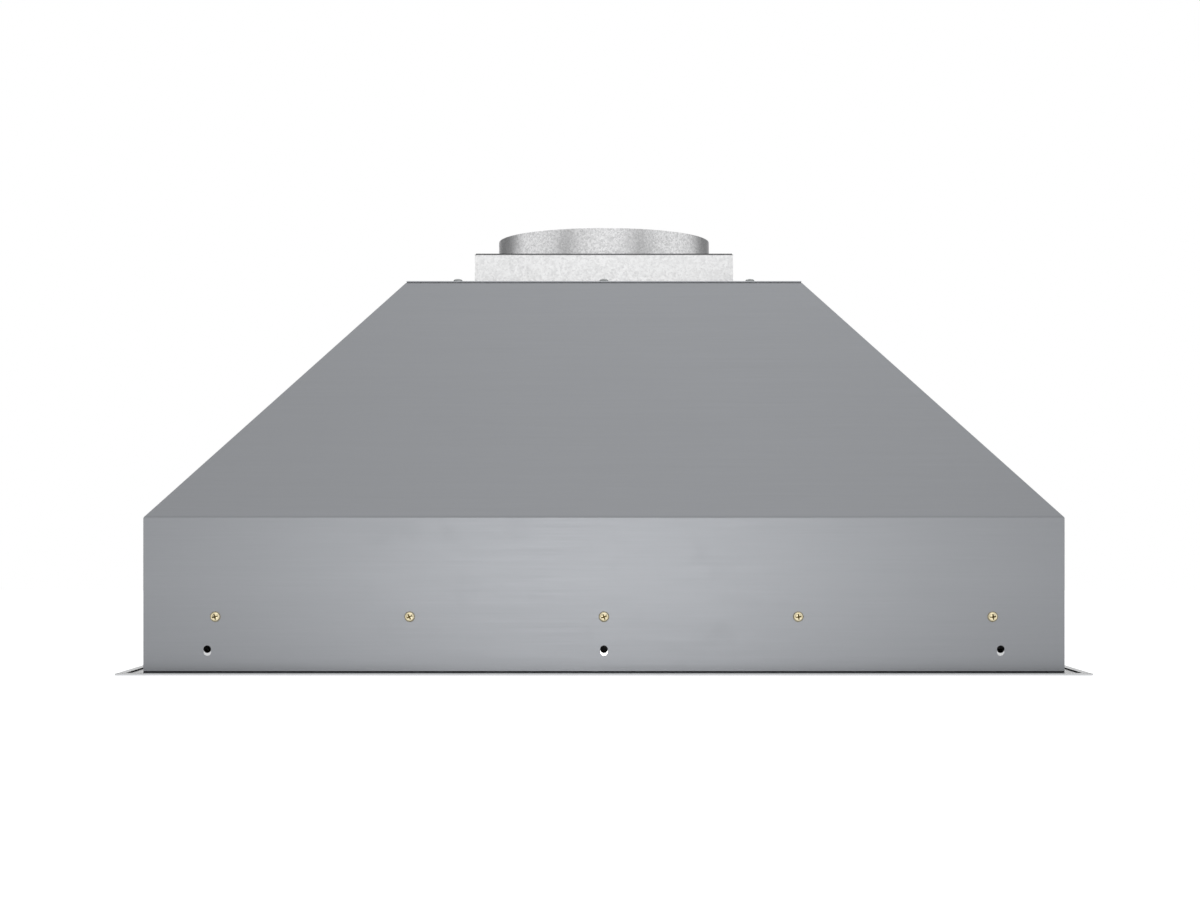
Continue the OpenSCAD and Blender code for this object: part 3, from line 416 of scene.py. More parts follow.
def flaked_zinc(name, dark=ZINC_DARK, light=ZINC_LIGHT, rough=0.4, flake_scale=FLAKE_SCALE, speck_depth=0.3):
    material, tree, shader = blank_material(name, 0.9, rough)
    flake = group_node(tree, SPANGLE)
    flake.inputs["Size"].default_value = flake_scale
    marks = group_node(tree, HANDLING)
    place = mapped_place(tree)
    tree.links.new(place, flake.inputs["Place"])
    tree.links.new(place, marks.inputs["Place"])
    flaked = mix_colour(tree, flake.outputs["Flake"], dark, light)
    speck = remap(tree, flake.outputs["Speck"], 0.3, 0.44, speck_depth, 0)
    specked = mix_colour(tree, speck, flaked, tuple(0.5 * c for c in dark))
    smear_tone = math_node(tree, "MULTIPLY", marks.outputs["Smears"], 0.12)
    smeared = mix_colour(tree, smear_tone, specked, dark)
    flake_shine = remap(tree, flake.outputs["Flake"], 0, 1, rough + 0.08, rough - 0.05)
    smear_dulling = math_node(tree, "MULTIPLY", marks.outputs["Smears"], 0.08)
    gloss = math_node(tree, "ADD", flake_shine, smear_dulling)
    dress(tree, shader, smeared, gloss, flake.outputs["Speck"], 0.00001)
    return material, tree, shader, smeared


galvanised = flaked_zinc("galvanised sheet")[0]
finish_node(
    ["scroll_side_left", "scroll_side_right", "impeller", "motor_bracket", "junction_box",
     "junction_cover", "damper_flap_front", "damper_flap_rear"],
    galvanised,
)
edge_shaded_zinc, tree, shader, face_colour = flaked_zinc("galvanised lid with painted shade on its edges")
# Painted shade: the lid's upright cut edges are painted near black
facing = tree.nodes.new("ShaderNodeNewGeometry")
upward = math_node(tree, "ABSOLUTE", parts_of(tree, facing.outputs["True Normal"])["Z"])
edge_painted_shade = remap(tree, upward, 0.4, 0.6, 1, 0)
tree.links.new(mix_colour(tree, edge_painted_shade, face_colour, (0.05, 0.05, 0.052)), shader.inputs["Base Color"])
finish_node(["collar_plate"], edge_shaded_zinc)
rim_shaded_zinc, tree, shader, face_colour = flaked_zinc("galvanised box with painted shade along its rim")
# Painted shade: a thin band at the box's top rim is painted near black
height = parts_of(tree, mapped_place(tree))["Z"]
rim_painted_shade = remap(tree, height, SHADED_RIM_Z - 0.00015, SHADED_RIM_Z + 0.00015, 0, 0.8)
tree.links.new(mix_colour(tree, rim_painted_shade, face_colour, (0.1, 0.1, 0.102)), shader.inputs["Base Color"])
finish_node(["adapter_box"], rim_shaded_zinc)

# Duct collar
# A strip of the same sheet, rolled round, with faint upright dark bands painted into its colour as
# painted reflections. Its foot is turned outwards to a ring that is riveted to the lid, and two holes hold
# the damper rod.
# Outlines and the places of fixings are in millimetres, what Blender's own tools take in metres.
COLLAR_OUTLINE = [
    (88.2, 348.2), (88.2, 327.0), (88.6, 326.3), (89.4, 326.0), (96.0, 326.0), (96.0, 326.8), (90.0, 326.8),
    (89.3, 327.1), (89.0, 327.8), (89.0, 348.2), (88.8, 348.5), (88.4, 348.5), (88.2, 348.2),
]
ROD_Z = 0.335
ROD_HOLE_RADIUS = 0.00215
# How many painted reflection bands go round the collar
PAINTED_BAND_COUNT = 9
SAME_POINT = 0.000002


def drawn_line(name, points):
    bpy.ops.object.select_all(action="DESELECT")
    bpy.ops.mesh.primitive_plane_add(size=0.002, location=(0, 0, 0))
    piece = bpy.context.object
    piece.name = name
    bpy.ops.object.mode_set(mode="EDIT")
    bpy.ops.mesh.select_mode(type="VERT")
    bpy.ops.mesh.select_all(action="SELECT")
    bpy.ops.mesh.merge(type="CENTER")
    bpy.ops.transform.translate(value=[c / 1000 for c in points[0]])
    for here, there in zip(points, points[1:]):
        step = [(b - a) / 1000 for a, b in zip(here, there)]
        bpy.ops.mesh.extrude_vertices_move(TRANSFORM_OT_translate={"value": step})
    bpy.ops.mesh.select_all(action="SELECT")
    return piece


def closed_up():
    bpy.ops.mesh.select_all(action="SELECT")
    bpy.ops.mesh.remove_doubles(threshold=SAME_POINT)
    bpy.ops.mesh.select_all(action="SELECT")
    bpy.ops.mesh.normals_make_consistent(inside=False)
    bpy.ops.object.mode_set(mode="OBJECT")


def turned(name, outline, steps):
    piece = drawn_line(name, [(radius, 0, height) for radius, height in outline])
    bpy.ops.mesh.remove_doubles(threshold=SAME_POINT)
    bpy.ops.mesh.select_all(action="SELECT")
    bpy.ops.mesh.spin(steps=steps, angle=2 * math.pi, center=(0, 0, 0), axis=(0, 0, 1))
    closed_up()
    return piece


def select_only(piece):
    bpy.ops.object.select_all(action="DESELECT")
    piece.select_set(True)
    bpy.context.view_layer.objects.active = piece


def cut_away(piece, cutter):
    boolean = piece.modifiers.new("cut", "BOOLEAN")
    boolean.operation = "DIFFERENCE"
    boolean.solver = "EXACT"
    boolean.use_self = True
    boolean.object = cutter
    select_only(piece)
    bpy.ops.object.modifier_apply(modifier=boolean.name)
    bpy.data.objects.remove(cutter)


def soften(piece, degrees=35):
    select_only(piece)
    bpy.ops.object.shade_smooth_by_angle(angle=math.radians(degrees))


def finish_piece(piece, material, body, slot_name, *replaced):
    if piece.data.materials:
        piece.data.materials[0] = material
    else:
        piece.data.materials.append(material)
    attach(piece, body)
    if replaced:
        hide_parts(*replaced)


rolled_zinc, tree, shader, face_colour = flaked_zinc(
    "rolled galvanised strip", (0.59, 0.59, 0.595), (0.85, 0.85, 0.855), 0.33, 900, 0.45
)
# Painted reflection: upright dark bands round the collar stand in for the studio mirrored in its shine
spot = parts_of(tree, mapped_place(tree))
round_angle = math_node(tree, "ARCTAN2", spot["X"], math_node(tree, "MULTIPLY", spot["Y"], -1))
bands = math_node(tree, "COSINE", math_node(tree, "MULTIPLY", round_angle, PAINTED_BAND_COUNT))
band_painted_colour = mix_colour(tree, remap(tree, bands, -1, 1, 0.16, 0), face_colour, (0.2, 0.2, 0.205))
tree.links.new(band_painted_colour, shader.inputs["Base Color"])

duct_collar = turned("duct_collar_rolled", COLLAR_OUTLINE, 120)
bpy.ops.mesh.primitive_cylinder_add(
    vertices=24, radius=ROD_HOLE_RADIUS, depth=0.2, location=(0, 0, ROD_Z), rotation=(0, math.pi / 2, 0)
)
cut_away(duct_collar, bpy.context.object)
soften(duct_collar)
finish_piece(duct_collar, rolled_zinc, "hood", "galvanised", "duct_collar")


def tab(name, low, high):
    bpy.ops.object.select_all(action="DESELECT")
    middle = [(a + b) / 2000 for a, b in zip(low, high)]
    bpy.ops.mesh.primitive_cube_add(size=1, location=middle)
    piece = bpy.context.object
    piece.name = name
    piece.scale = [(b - a) / 1000 for a, b in zip(low, high)]
    bpy.ops.object.transform_apply()
    return piece


def bevelled(piece, width, segments=2):
    bevel = piece.modifiers.new("bevel", "BEVEL")
    bevel.width = width / 1000
    bevel.segments = segments
    bevel.limit_method = "ANGLE"
    select_only(piece)
    bpy.ops.object.modifier_apply(modifier=bevel.name)
    return piece


# Stops: two small tabs inside the collar, on which the damper flaps rest
STOP_REACH = (82.2, 88.3)
STOP_HALF_WIDTH = 6
STOP_HEIGHTS = (333.6, 334.4)
for end, side in (("front", -1), ("rear", 1)):
    near, far = sorted(side * reach for reach in STOP_REACH)
    low = (-STOP_HALF_WIDTH, near, STOP_HEIGHTS[0])
    high = (STOP_HALF_WIDTH, far, STOP_HEIGHTS[1])
    stop = bevelled(tab(f"flap_stop_{end}", low, high), 0.25)
    soften(stop)
    finish_piece(stop, galvanised, "hood", "galvanised")

# Screws and rivets
# Pan head screws of yellow passivated or clear zinc plated steel with a cross recess, each at its
# own turn. The collar's foot ring is held by six blind rivets of aluminium.
SCREW_OUTLINE = [
    (0, 2.6), (1.2, 2.55), (2.1, 2.36), (2.8, 2.0), (3.3, 1.5), (3.65, 0.95), (3.85, 0.4), (3.9, 0.1),
    (3.8, 0), (1.9, 0),
]
SCREW_OUTLINE += [(radius, -0.4 - 0.3 * i) for i, radius in enumerate([1.9, 1.55] * 6)]
SCREW_OUTLINE += [(1.2, -4.1), (0, -4.2)]
RECESS_ARM = (0.0042, 0.00095, 0.0022)
RECESS_ARM_Z = 0.0021
RECESS_REACH = 0.0022
RECESS_FLOOR_Z = 0.0005
WALL_PITCH = 143
WALL_SCREW_Z = 42
HALF_WIDTH = 339
HALF_DEPTH = 226
TOP_PLATE_Z = 298
TOP_SCREW_REACH = 144.5
TOP_SCREW_PITCH = 113.3
TOP_SIDE_SCREW_Y = 48
ADAPTER_FOOT_Z = 298.8
ADAPTER_SCREW_REACH = 109
ADAPTER_SCREW_ALONG = 55
RIVET_RING_RADIUS = 92.5
RIVET_RING_Z = 326.8
TILTS = {
    "front": (90, "X"), "rear": (-90, "X"), "right": (90, "Y"), "left": (-90, "Y"), "up": (0, "X"),
    "down": (180, "X"),
}


def joined(name, parts):
    bpy.ops.object.select_all(action="DESELECT")
    for part in parts:
        part.select_set(True)
    bpy.context.view_layer.objects.active = parts[0]
    if len(parts) > 1:
        bpy.ops.object.join()
    parts[0].name = name
    return parts[0]


def copies(master, name, places):
    made = []
    for place in places:
        copy = master.copy()
        copy.data = master.data.copy()
        copy.data.transform(place)
        bpy.context.scene.collection.objects.link(copy)
        made.append(copy)
    return joined(name, made)


def facing_out(place, way, turn):
    degrees, axis = TILTS[way]
    tilt = Matrix.Rotation(math.radians(degrees), 4, axis)
    return Matrix.Translation([c / 1000 for c in place]) @ tilt @ Matrix.Rotation(math.radians(turn), 4, "Z")


def plated_steel(name, dark, light, rough):
    material, tree, shader = blank_material(name, 1, rough)
    place = mapped_place(tree)
    bloom = remap(tree, noise(tree, place, 420, 3, 0.6), 0.35, 0.65, 0, 1)
    gloss = remap(tree, bloom, 0, 1, rough + 0.08, rough - 0.05)
    dress(tree, shader, mix_colour(tree, bloom, dark, light), gloss, noise(tree, place, 1500), 0.00001)
    return material


yellow_zinc = plated_steel("yellow passivated zinc", (0.78, 0.67, 0.42), (0.88, 0.79, 0.56), 0.2)
# Painted shade: a near black brown for the faces inside the cross recess
recess_painted_shade = plated_steel("painted recess shade", (0.07, 0.05, 0.015), (0.13, 0.095, 0.035), 0.4)
clear_zinc = plated_steel("clear zinc plate", (0.22, 0.23, 0.23), (0.32, 0.33, 0.33), 0.36)
rivet_alloy = plated_steel("rivet aluminium", (0.6, 0.6, 0.61), (0.75, 0.75, 0.76), 0.3)

screw = turned("screw_pattern", SCREW_OUTLINE, 28)
arms = []
for turn in (0, math.pi / 2):
    bpy.ops.mesh.primitive_cube_add(size=1, location=(0, 0, RECESS_ARM_Z), rotation=(0, 0, turn))
    bpy.context.object.scale = RECESS_ARM
    arms.append(bpy.context.object)
bpy.ops.mesh.primitive_cone_add(
    vertices=16, radius1=0.0003, radius2=0.0013, depth=0.0024, location=(0, 0, 0.0019)
)
arms.append(bpy.context.object)
recess = joined("screw_recess", arms)
bpy.ops.object.transform_apply()
cut_away(screw, recess)
soften(screw, 40)
# The faces inside the cross recess get the painted shade
for look in (yellow_zinc, recess_painted_shade):
    screw.data.materials.append(look)
for face in screw.data.polygons:
    reach = math.hypot(face.center.x, face.center.y)
    dome_z = 0.00235 - 0.02 * reach
    if reach < RECESS_REACH and RECESS_FLOOR_Z < face.center.z < dome_z:
        face.material_index = 1

turns = random.Random(7)
body_places = []
for i in (-2, -1, 0, 1, 2):
    x = WALL_PITCH * i
    body_places.append(facing_out((x, -HALF_DEPTH, WALL_SCREW_Z), "front", 20 + turns.uniform(-14, 14)))
    body_places.append(facing_out((x, HALF_DEPTH, WALL_SCREW_Z), "rear", turns.uniform(0, 90)))
for i in (-1, 0, 1):
    y = WALL_PITCH * i
    body_places.append(facing_out((HALF_WIDTH, y, WALL_SCREW_Z), "right", turns.uniform(0, 90)))
    body_places.append(facing_out((-HALF_WIDTH, y, WALL_SCREW_Z), "left", turns.uniform(0, 90)))
body_screws = copies(screw, "body_screw_set", body_places)
finish_piece(body_screws, yellow_zinc, "hood", "screw_zinc", "liner_screws")
top_places = []
for i in (-1, 0, 1):
    for y in (-TOP_SCREW_REACH, TOP_SCREW_REACH):
        top_places.append(facing_out((TOP_SCREW_PITCH * i, y, TOP_PLATE_Z), "up", turns.uniform(0, 90)))
for y in (-TOP_SIDE_SCREW_Y, TOP_SIDE_SCREW_Y):
    for x in (-TOP_SCREW_REACH, TOP_SCREW_REACH):
        top_places.append(facing_out((x, y, TOP_PLATE_Z), "up", turns.uniform(0, 90)))
top_screws = copies(screw, "top_plate_screw_set", top_places)
finish_piece(top_screws, clear_zinc, "hood", "screw_zinc", "top_plate_screws")
adapter_places = []
for side in (-ADAPTER_SCREW_REACH, ADAPTER_SCREW_REACH):
    for along in (-ADAPTER_SCREW_ALONG, ADAPTER_SCREW_ALONG):
        adapter_places.append(facing_out((side, along, ADAPTER_FOOT_Z), "up", turns.uniform(0, 90)))
        adapter_places.append(facing_out((along, side, ADAPTER_FOOT_Z), "up", turns.uniform(0, 90)))
adapter_screws = copies(screw, "adapter_screw_set", adapter_places)
finish_piece(adapter_screws, yellow_zinc, "hood", "screw_zinc", "adapter_screws")


def blind_rivet(name, grip, steps):
    head = [(0, 0.85), (0.7, 0.83), (0.75, 1.0), (1.5, 0.85), (2.1, 0.5), (2.4, 0.1), (2.35, 0), (1.2, 0)]
    tail = [(1.2, -grip), (1.0, -grip - 0.3), (0, -grip - 0.3)]
    rivet = turned(name, head + tail, steps)
    soften(rivet)
    return rivet


rivet = blind_rivet("rivet_pattern", 2.3, 24)
rivet_places = []
for i in range(6):
    turn = math.radians(60 * i + 30)
    x = RIVET_RING_RADIUS * math.cos(turn)
    y = RIVET_RING_RADIUS * math.sin(turn)
    rivet_places.append(facing_out((x, y, RIVET_RING_Z), "up", 0))
collar_rivets = copies(rivet, "collar_rivet_set", rivet_places)
finish_piece(collar_rivets, rivet_alloy, "hood", "lamp_alloy", "collar_rivets")
bpy.data.objects.remove(rivet)

# Black strips of painted shade
# A thin black strip fills the slit between the body's lower edge and the flange, as painted shade
# of that slit. A thin black bead in the corner behind the hem is painted shade of the hem's edge,
# and dark seams lie along the hem's mitred corners.
black_shade_strip, tree, shader = blank_material("black painted shade strip", 0, 0.8)
strip_speckle = noise(tree, mapped_place(tree), 2600, 3, 0.6)
strip_black = mix_colour(tree, strip_speckle, (0.006, 0.006, 0.006), (0.02, 0.02, 0.021))
tree.links.new(strip_black, shader.inputs["Base Color"])
tree.links.new(bump(tree, strip_speckle, 0.00006), shader.inputs["Normal"])
shader.inputs["Specular IOR Level"].default_value = 0.15


def ring_wall(name, half_x, half_y, low, high, thickness):
    piece = tab(name, (-half_x, -half_y, low), (half_x, half_y, high))
    bpy.ops.object.mode_set(mode="EDIT")
    bpy.ops.mesh.select_mode(type="FACE")
    bpy.ops.mesh.select_all(action="DESELECT")
    bpy.ops.object.mode_set(mode="OBJECT")
    for face in piece.data.polygons:
        face.select = abs(face.normal.z) > 0.5
    bpy.ops.object.mode_set(mode="EDIT")
    bpy.ops.mesh.delete(type="FACE")
    bpy.ops.object.mode_set(mode="OBJECT")
    wall = piece.modifiers.new("wall", "SOLIDIFY")
    wall.thickness = thickness / 1000
    wall.offset = -1
    wall.use_even_offset = True
    bpy.ops.object.modifier_apply(modifier=wall.name)
    return piece


# Painted shade: a black strip put in the slit under the body's lower edge
body_gap_shade = ring_wall("body_gap_shade_strip", 338.92, 225.92, 0.8, 2.0, 0.7)
finish_piece(bevelled(body_gap_shade, 0.1), black_shade_strip, "hood", "bushing_rubber")
HEM_CORNER = (0.3522, 0.2417)
# Painted shade: a black bead along the hem's inner edge
hem_parts = [bevelled(ring_wall("hem_shade_bead", 349, 238.5, 0.8, 1.62, 0.75), 0.3, 3)]
for x in (-1, 1):
    for y in (-1, 1):
        seam = tab("hem_mitre", (-4.3, -0.16, 1.585), (4.3, 0.16, 1.625))
        corner = Matrix.Translation((HEM_CORNER[0] * x, HEM_CORNER[1] * y, 0))
        seam.data.transform(corner @ Matrix.Rotation(math.pi / 4 * x * y, 4, "Z"))
        hem_parts.append(seam)
finish_piece(joined("hem_shade_strip", hem_parts), black_shade_strip, "hood", "bushing_rubber")

# Damper
# Two half-round flaps of galvanised sheet turn on a drawn steel rod across the collar. The fan
# lifts them open, and they fall shut on the two stops.
drawn_steel = brushed_metal(
    "drawn steel", (0.42, 0.42, 0.43), (0.6, 0.6, 0.61), 0.26, (40, 900, 900), 0.000006
)
finish_node(["damper_rod", "motor_shaft"], drawn_steel)

# Blower housing
# A scroll of galvanised sheet between two side plates, with a spun inlet bell in each side. Blind
# rivets hold the bells, and screws hold the scroll under the top plate.
BELL_OUTLINE = [
    (76.0, -8.0), (76.5, -8.0), (76.9, -6.4), (77.5, -4.4), (78.4, -2.4), (79.2, -1.2), (79.8, -0.4),
    (79.8, 0.0), (90.0, 0.0), (90.0, 0.8), (79.6, 0.8), (78.7, 0.4), (77.8, -0.8), (77.0, -2.4),
    (76.4, -4.4), (76.0, -6.6), (76.0, -8.0),
]
SHAFT_Y = -43.59
SHAFT_Z = 190
BELL_X = 75
BELL_RIVET_X = 75.8
BRACKET_RIVET_X = 77.8
BELL_RIVET_RADIUS = 85
OUTLET_SCREW_X = 81
OUTLET_SCREW_Y = 73.93
OUTLET_SCREW_Z = 296.2
SCROLL_HALF_WIDTH = 74.2
SCROLL_RADIUS = 104
SCROLL_GROWTH = 32
SCROLL_START = 118
SCROLL_POINTS = 122
OUTLET_RISE = 107


def round_shaft(count, radius, x, way, offset=0):
    middle = Matrix.Translation((x / 1000, SHAFT_Y / 1000, SHAFT_Z / 1000))
    facing = Matrix.Rotation(way * math.pi / 2, 4, "Y")
    places = []
    for i in range(count):
        turn = 2 * math.pi * i / count + math.radians(offset)
        out = Matrix.Translation((0, radius / 1000 * math.sin(turn), radius / 1000 * math.cos(turn)))
        places.append(middle @ out @ facing)
    return places


bell = turned("bell_pattern", BELL_OUTLINE, 96)
soften(bell, 40)
for side, way in (("left", -1), ("right", 1)):
    bell_copy = copies(bell, f"spun_bell_{side}", round_shaft(1, 0, way * BELL_X, way))
    finish_piece(bell_copy, galvanised, "hood", "galvanised", f"inlet_bell_{side}")
bpy.data.objects.remove(bell)
rivet = blind_rivet("rivet_pattern_wide", 3.3, 20)
bracket_rivets = copies(rivet, "bracket_rivet_set", round_shaft(3, BELL_RIVET_RADIUS, BRACKET_RIVET_X, 1))
finish_piece(bracket_rivets, rivet_alloy, "hood", "lamp_alloy", "bracket_screws")
left_rivets = copies(rivet, "left_bell_rivet_set", round_shaft(3, BELL_RIVET_RADIUS, -BELL_RIVET_X, -1))
finish_piece(left_rivets, rivet_alloy, "hood", "lamp_alloy")
bpy.data.objects.remove(rivet)
outlet_places = []
for x in (-OUTLET_SCREW_X, OUTLET_SCREW_X):
    for y in (-OUTLET_SCREW_Y, 0, OUTLET_SCREW_Y):
        outlet_places.append(facing_out((x, y, OUTLET_SCREW_Z), "down", turns.uniform(0, 90)))
blower_screws = copies(screw, "blower_screw_set", outlet_places)
finish_piece(blower_screws, clear_zinc, "hood", "screw_zinc", "blower_screws")
bpy.data.objects.remove(screw)

# Scroll sheet: a straight run from the outlet, a widening turn of two degrees a step, and a
# straight run back up to the outlet
scroll_path = [(SCROLL_RADIUS * math.cos(math.radians(SCROLL_START)), OUTLET_RISE)]
for i in range(SCROLL_POINTS):
    turn = math.radians(SCROLL_START + 2 * i)
    radius = SCROLL_RADIUS + SCROLL_GROWTH * i / (SCROLL_POINTS - 1)
    scroll_path.append((radius * math.cos(turn), radius * math.sin(turn)))
scroll_path.append((SCROLL_RADIUS + SCROLL_GROWTH, OUTLET_RISE))
scroll = drawn_line("scroll_wrap_rolled", [(-SCROLL_HALF_WIDTH, y, z) for y, z in scroll_path])
bpy.ops.mesh.extrude_region_move(TRANSFORM_OT_translate={"value": (2 * SCROLL_HALF_WIDTH / 1000, 0, 0)})
closed_up()
scroll.data.transform(Matrix.Translation((0, SHAFT_Y / 1000, SHAFT_Z / 1000)))
sheet = scroll.modifiers.new("sheet", "SOLIDIFY")
sheet.thickness = 0.0008
sheet.offset = 1
bpy.ops.object.modifier_apply(modifier=sheet.name)
soften(scroll)
finish_piece(scroll, galvanised, "hood", "galvanised", "scroll_wrap")

# Motor
# An open frame motor in a pressed steel shell, painted dark grey with a fine texture. Four long
# bolts hold its end shields, and its rear end is fixed to the three-armed bracket.
motor_paint, tree, shader = blank_material("textured motor paint", 0, 0.5)
place = mapped_place(tree)
pebbles = noise(tree, place, 1100, 3, 0.6)
dust = remap(tree, noise(tree, place, 35, 4, 0.6), 0.45, 0.7, 0, 0.35)
painted = mix_colour(tree, pebbles, (0.03, 0.031, 0.034), (0.06, 0.062, 0.067))
dusty = mix_colour(tree, dust, painted, (0.14, 0.135, 0.125))
dress(tree, shader, dusty, remap(tree, pebbles, 0.3, 0.7, 0.42, 0.62), pebbles, 0.00008)
MOTOR_OUTLINE = [
    (4.1, 0.0), (13.4, 0.0), (14.0, 0.6), (14.0, 3.0), (30.0, 3.0), (31.0, 3.6), (32.0, 3.0), (41.0, 3.0),
    (43.0, 5.0), (43.0, 6.0), (44.4, 6.0), (45.0, 6.6), (45.0, 14.0), (44.4, 14.5), (44.4, 47.5),
    (45.0, 48.0), (45.0, 55.4), (44.4, 56.0), (43.0, 56.0), (43.0, 60.0), (41.0, 62.0), (0.0, 62.0),
    (0.0, 60.0), (4.1, 60.0), (4.1, 0.0),
]
BOLT_OUTLINE = [
    (0, 2.0), (1.8, 2.0), (2.0, 1.6), (2.0, 1.2), (3.6, 1.2), (3.9, 0.9), (3.9, 0.1), (3.8, 0), (0, 0),
]
MOTOR_X = 13.8
BOLT_X = 16.8
BOLT_RADIUS = 36.5
VENT_COUNT = 12
VENT_MIDDLE = 0.023
VENT_HALF = 0.004
VENT_RADIUS = 0.0016
VENT_DEPTH = 0.006
VENT_Z = 0.0035
motor = turned("motor_pattern", MOTOR_OUTLINE, 72)
vents = []
for i in range(VENT_COUNT):
    turn = 2 * math.pi * i / VENT_COUNT
    for reach in (VENT_MIDDLE + VENT_HALF, VENT_MIDDLE - VENT_HALF):
        place = (reach * math.cos(turn), reach * math.sin(turn), VENT_Z)
        bpy.ops.mesh.primitive_cylinder_add(vertices=12, radius=VENT_RADIUS, depth=VENT_DEPTH, location=place)
        vents.append(bpy.context.object)
    place = (VENT_MIDDLE * math.cos(turn), VENT_MIDDLE * math.sin(turn), VENT_Z)
    bpy.ops.mesh.primitive_cube_add(size=1, location=place, rotation=(0, 0, turn))
    bpy.context.object.scale = (2 * VENT_HALF, 2 * VENT_RADIUS, VENT_DEPTH)
    vents.append(bpy.context.object)
vent_cutter = joined("motor_vents", vents)
bpy.ops.object.transform_apply()
cut_away(motor, vent_cutter)
soften(motor, 32)
motor_shell = copies(motor, "motor_shell", round_shaft(1, 0, MOTOR_X, 1))
finish_piece(motor_shell, motor_paint, "hood", "motor_paint", "motor_body")
bpy.data.objects.remove(motor)
bolt = turned("bolt_pattern", BOLT_OUTLINE, 6)
soften(bolt, 20)
motor_bolts = copies(bolt, "motor_bolt_set", round_shaft(4, BOLT_RADIUS, BOLT_X, -1, 45))
finish_piece(motor_bolts, clear_zinc, "hood", "screw_zinc")
bpy.data.objects.remove(bolt)
finish_node(["impeller_nut"], clear_zinc)

# Filters
# Each filter is a stainless frame with mitred corners round two rows of baffles. The upper row
# covers the gaps of the lower one. A bent stainless rod welded to the front rail is the handle.
HANDLE_RADIUS = 0.003
HANDLE_BEND = 0.006
WELD_OUTLINE = [
    (2.6, 0.0), (4.6, 0.0), (4.5, -0.35), (4.0, -0.8), (3.4, -1.0), (3.1, -1.6), (2.9, -1.7), (2.6, 0.0),
]


def mitred_frame(name, node):
    low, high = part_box(node)
    to_middle = [-(low[i] + high[i]) / 2 for i in range(3)]
    material, tree, shader = blank_material(name, 1, 0.3)
    spot = parts_of(tree, mapped_place(tree, move=to_middle))
    from_side = math_node(tree, "SUBTRACT", (high[0] - low[0]) / 2, math_node(tree, "ABSOLUTE", spot["X"]))
    from_end = math_node(tree, "SUBTRACT", (high[1] - low[1]) / 2, math_node(tree, "ABSOLUTE", spot["Y"]))
    from_mitre = math_node(tree, "ABSOLUTE", math_node(tree, "SUBTRACT", from_side, from_end))
    seam = remap(tree, from_mitre, 0.0001, 0.0003, 0.8, 0)
    blend = tree.nodes.new("ShaderNodeMix")
    tree.links.new(math_node(tree, "LESS_THAN", from_side, from_end), blend.inputs["Factor"])
    for stroke_scale, end in ((GRAIN_WIDE, "A"), (GRAIN_DEEP, "B")):
        grain = group_node(tree, GRAIN)
        tree.links.new(mapped_place(tree, stroke_scale), grain.inputs["Strokes"])
        tree.links.new(grain.outputs["Tone"], blend.inputs[end])
    tone = blend.outputs["Result"]
    base = mix_colour(tree, remap(tree, tone, 0.3, 0.7, 0, 1), STAINLESS_DARK, STAINLESS_LIGHT)
    seamed = mix_colour(tree, seam, base, (0.05, 0.05, 0.05))
    dress(tree, shader, seamed, remap(tree, tone, 0.3, 0.7, 0.36, 0.25), tone, 0.00001)
    finish_node([node], material)


def welded_handle(side):
    low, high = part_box(f"filter_handle_{side}")
    half = (high[0] - low[0]) / 2 - HANDLE_RADIUS
    top = high[2]
    drop = top - low[2] - HANDLE_RADIUS
    x = (low[0] + high[0]) / 2
    y = (low[1] + high[1]) / 2
    bpy.ops.object.select_all(action="DESELECT")
    bpy.ops.mesh.primitive_circle_add(
        vertices=20, radius=HANDLE_RADIUS, fill_type="NGON", location=(x - half, y, top)
    )
    rod = bpy.context.object
    rod.name = f"welded_handle_{side}"
    bpy.ops.object.transform_apply()
    bpy.ops.object.mode_set(mode="EDIT")
    bpy.ops.mesh.select_mode(type="FACE")
    bpy.ops.mesh.select_all(action="SELECT")
    bpy.ops.mesh.extrude_region_move(TRANSFORM_OT_translate={"value": (0, 0, -(drop - HANDLE_BEND))})
    for end, onward in ((-1, (2 * (half - HANDLE_BEND), 0, 0)), (1, (0, 0, drop - HANDLE_BEND))):
        corner = (x + end * (half - HANDLE_BEND), y, top - drop + HANDLE_BEND)
        bpy.ops.mesh.spin(steps=8, angle=math.pi / 2, center=corner, axis=(0, 1, 0))
        bpy.ops.mesh.extrude_region_move(TRANSFORM_OT_translate={"value": onward})
    closed_up()
    weld = turned("weld_pattern", WELD_OUTLINE, 20)
    feet = [Matrix.Translation((x + end * half, y, top)) for end in (-1, 1)]
    handle = joined(f"welded_handle_{side}", [rod, copies(weld, "handle_welds", feet)])
    bpy.data.objects.remove(weld)
    soften(handle, 40)
    finish_piece(handle, drawn_rod, f"filter_{side}", "stainless", f"filter_handle_{side}")


drawn_rod = brushed_metal(
    "stainless rod", (0.5, 0.505, 0.51), (0.68, 0.685, 0.69), 0.22, (60, 700, 700), 0.000005
)
baffle_metal = brushed_metal(
    "stainless, grain along the depth", STAINLESS_DARK, STAINLESS_LIGHT, 0.28, GRAIN_DEEP
)
finish_node(["filter_baffles_left", "filter_baffles_right"], baffle_metal)
for side in ("left", "right"):
    mitred_frame(f"mitred rails {side}", f"filter_frame_{side}")
    welded_handle(side)
spring_steel = brushed_metal(
    "spring steel", (0.3, 0.3, 0.31), (0.42, 0.42, 0.43), 0.3, (900, 900, 60), 0.000005, 0.04
)
finish_node(["filter_clips"], spring_steel)

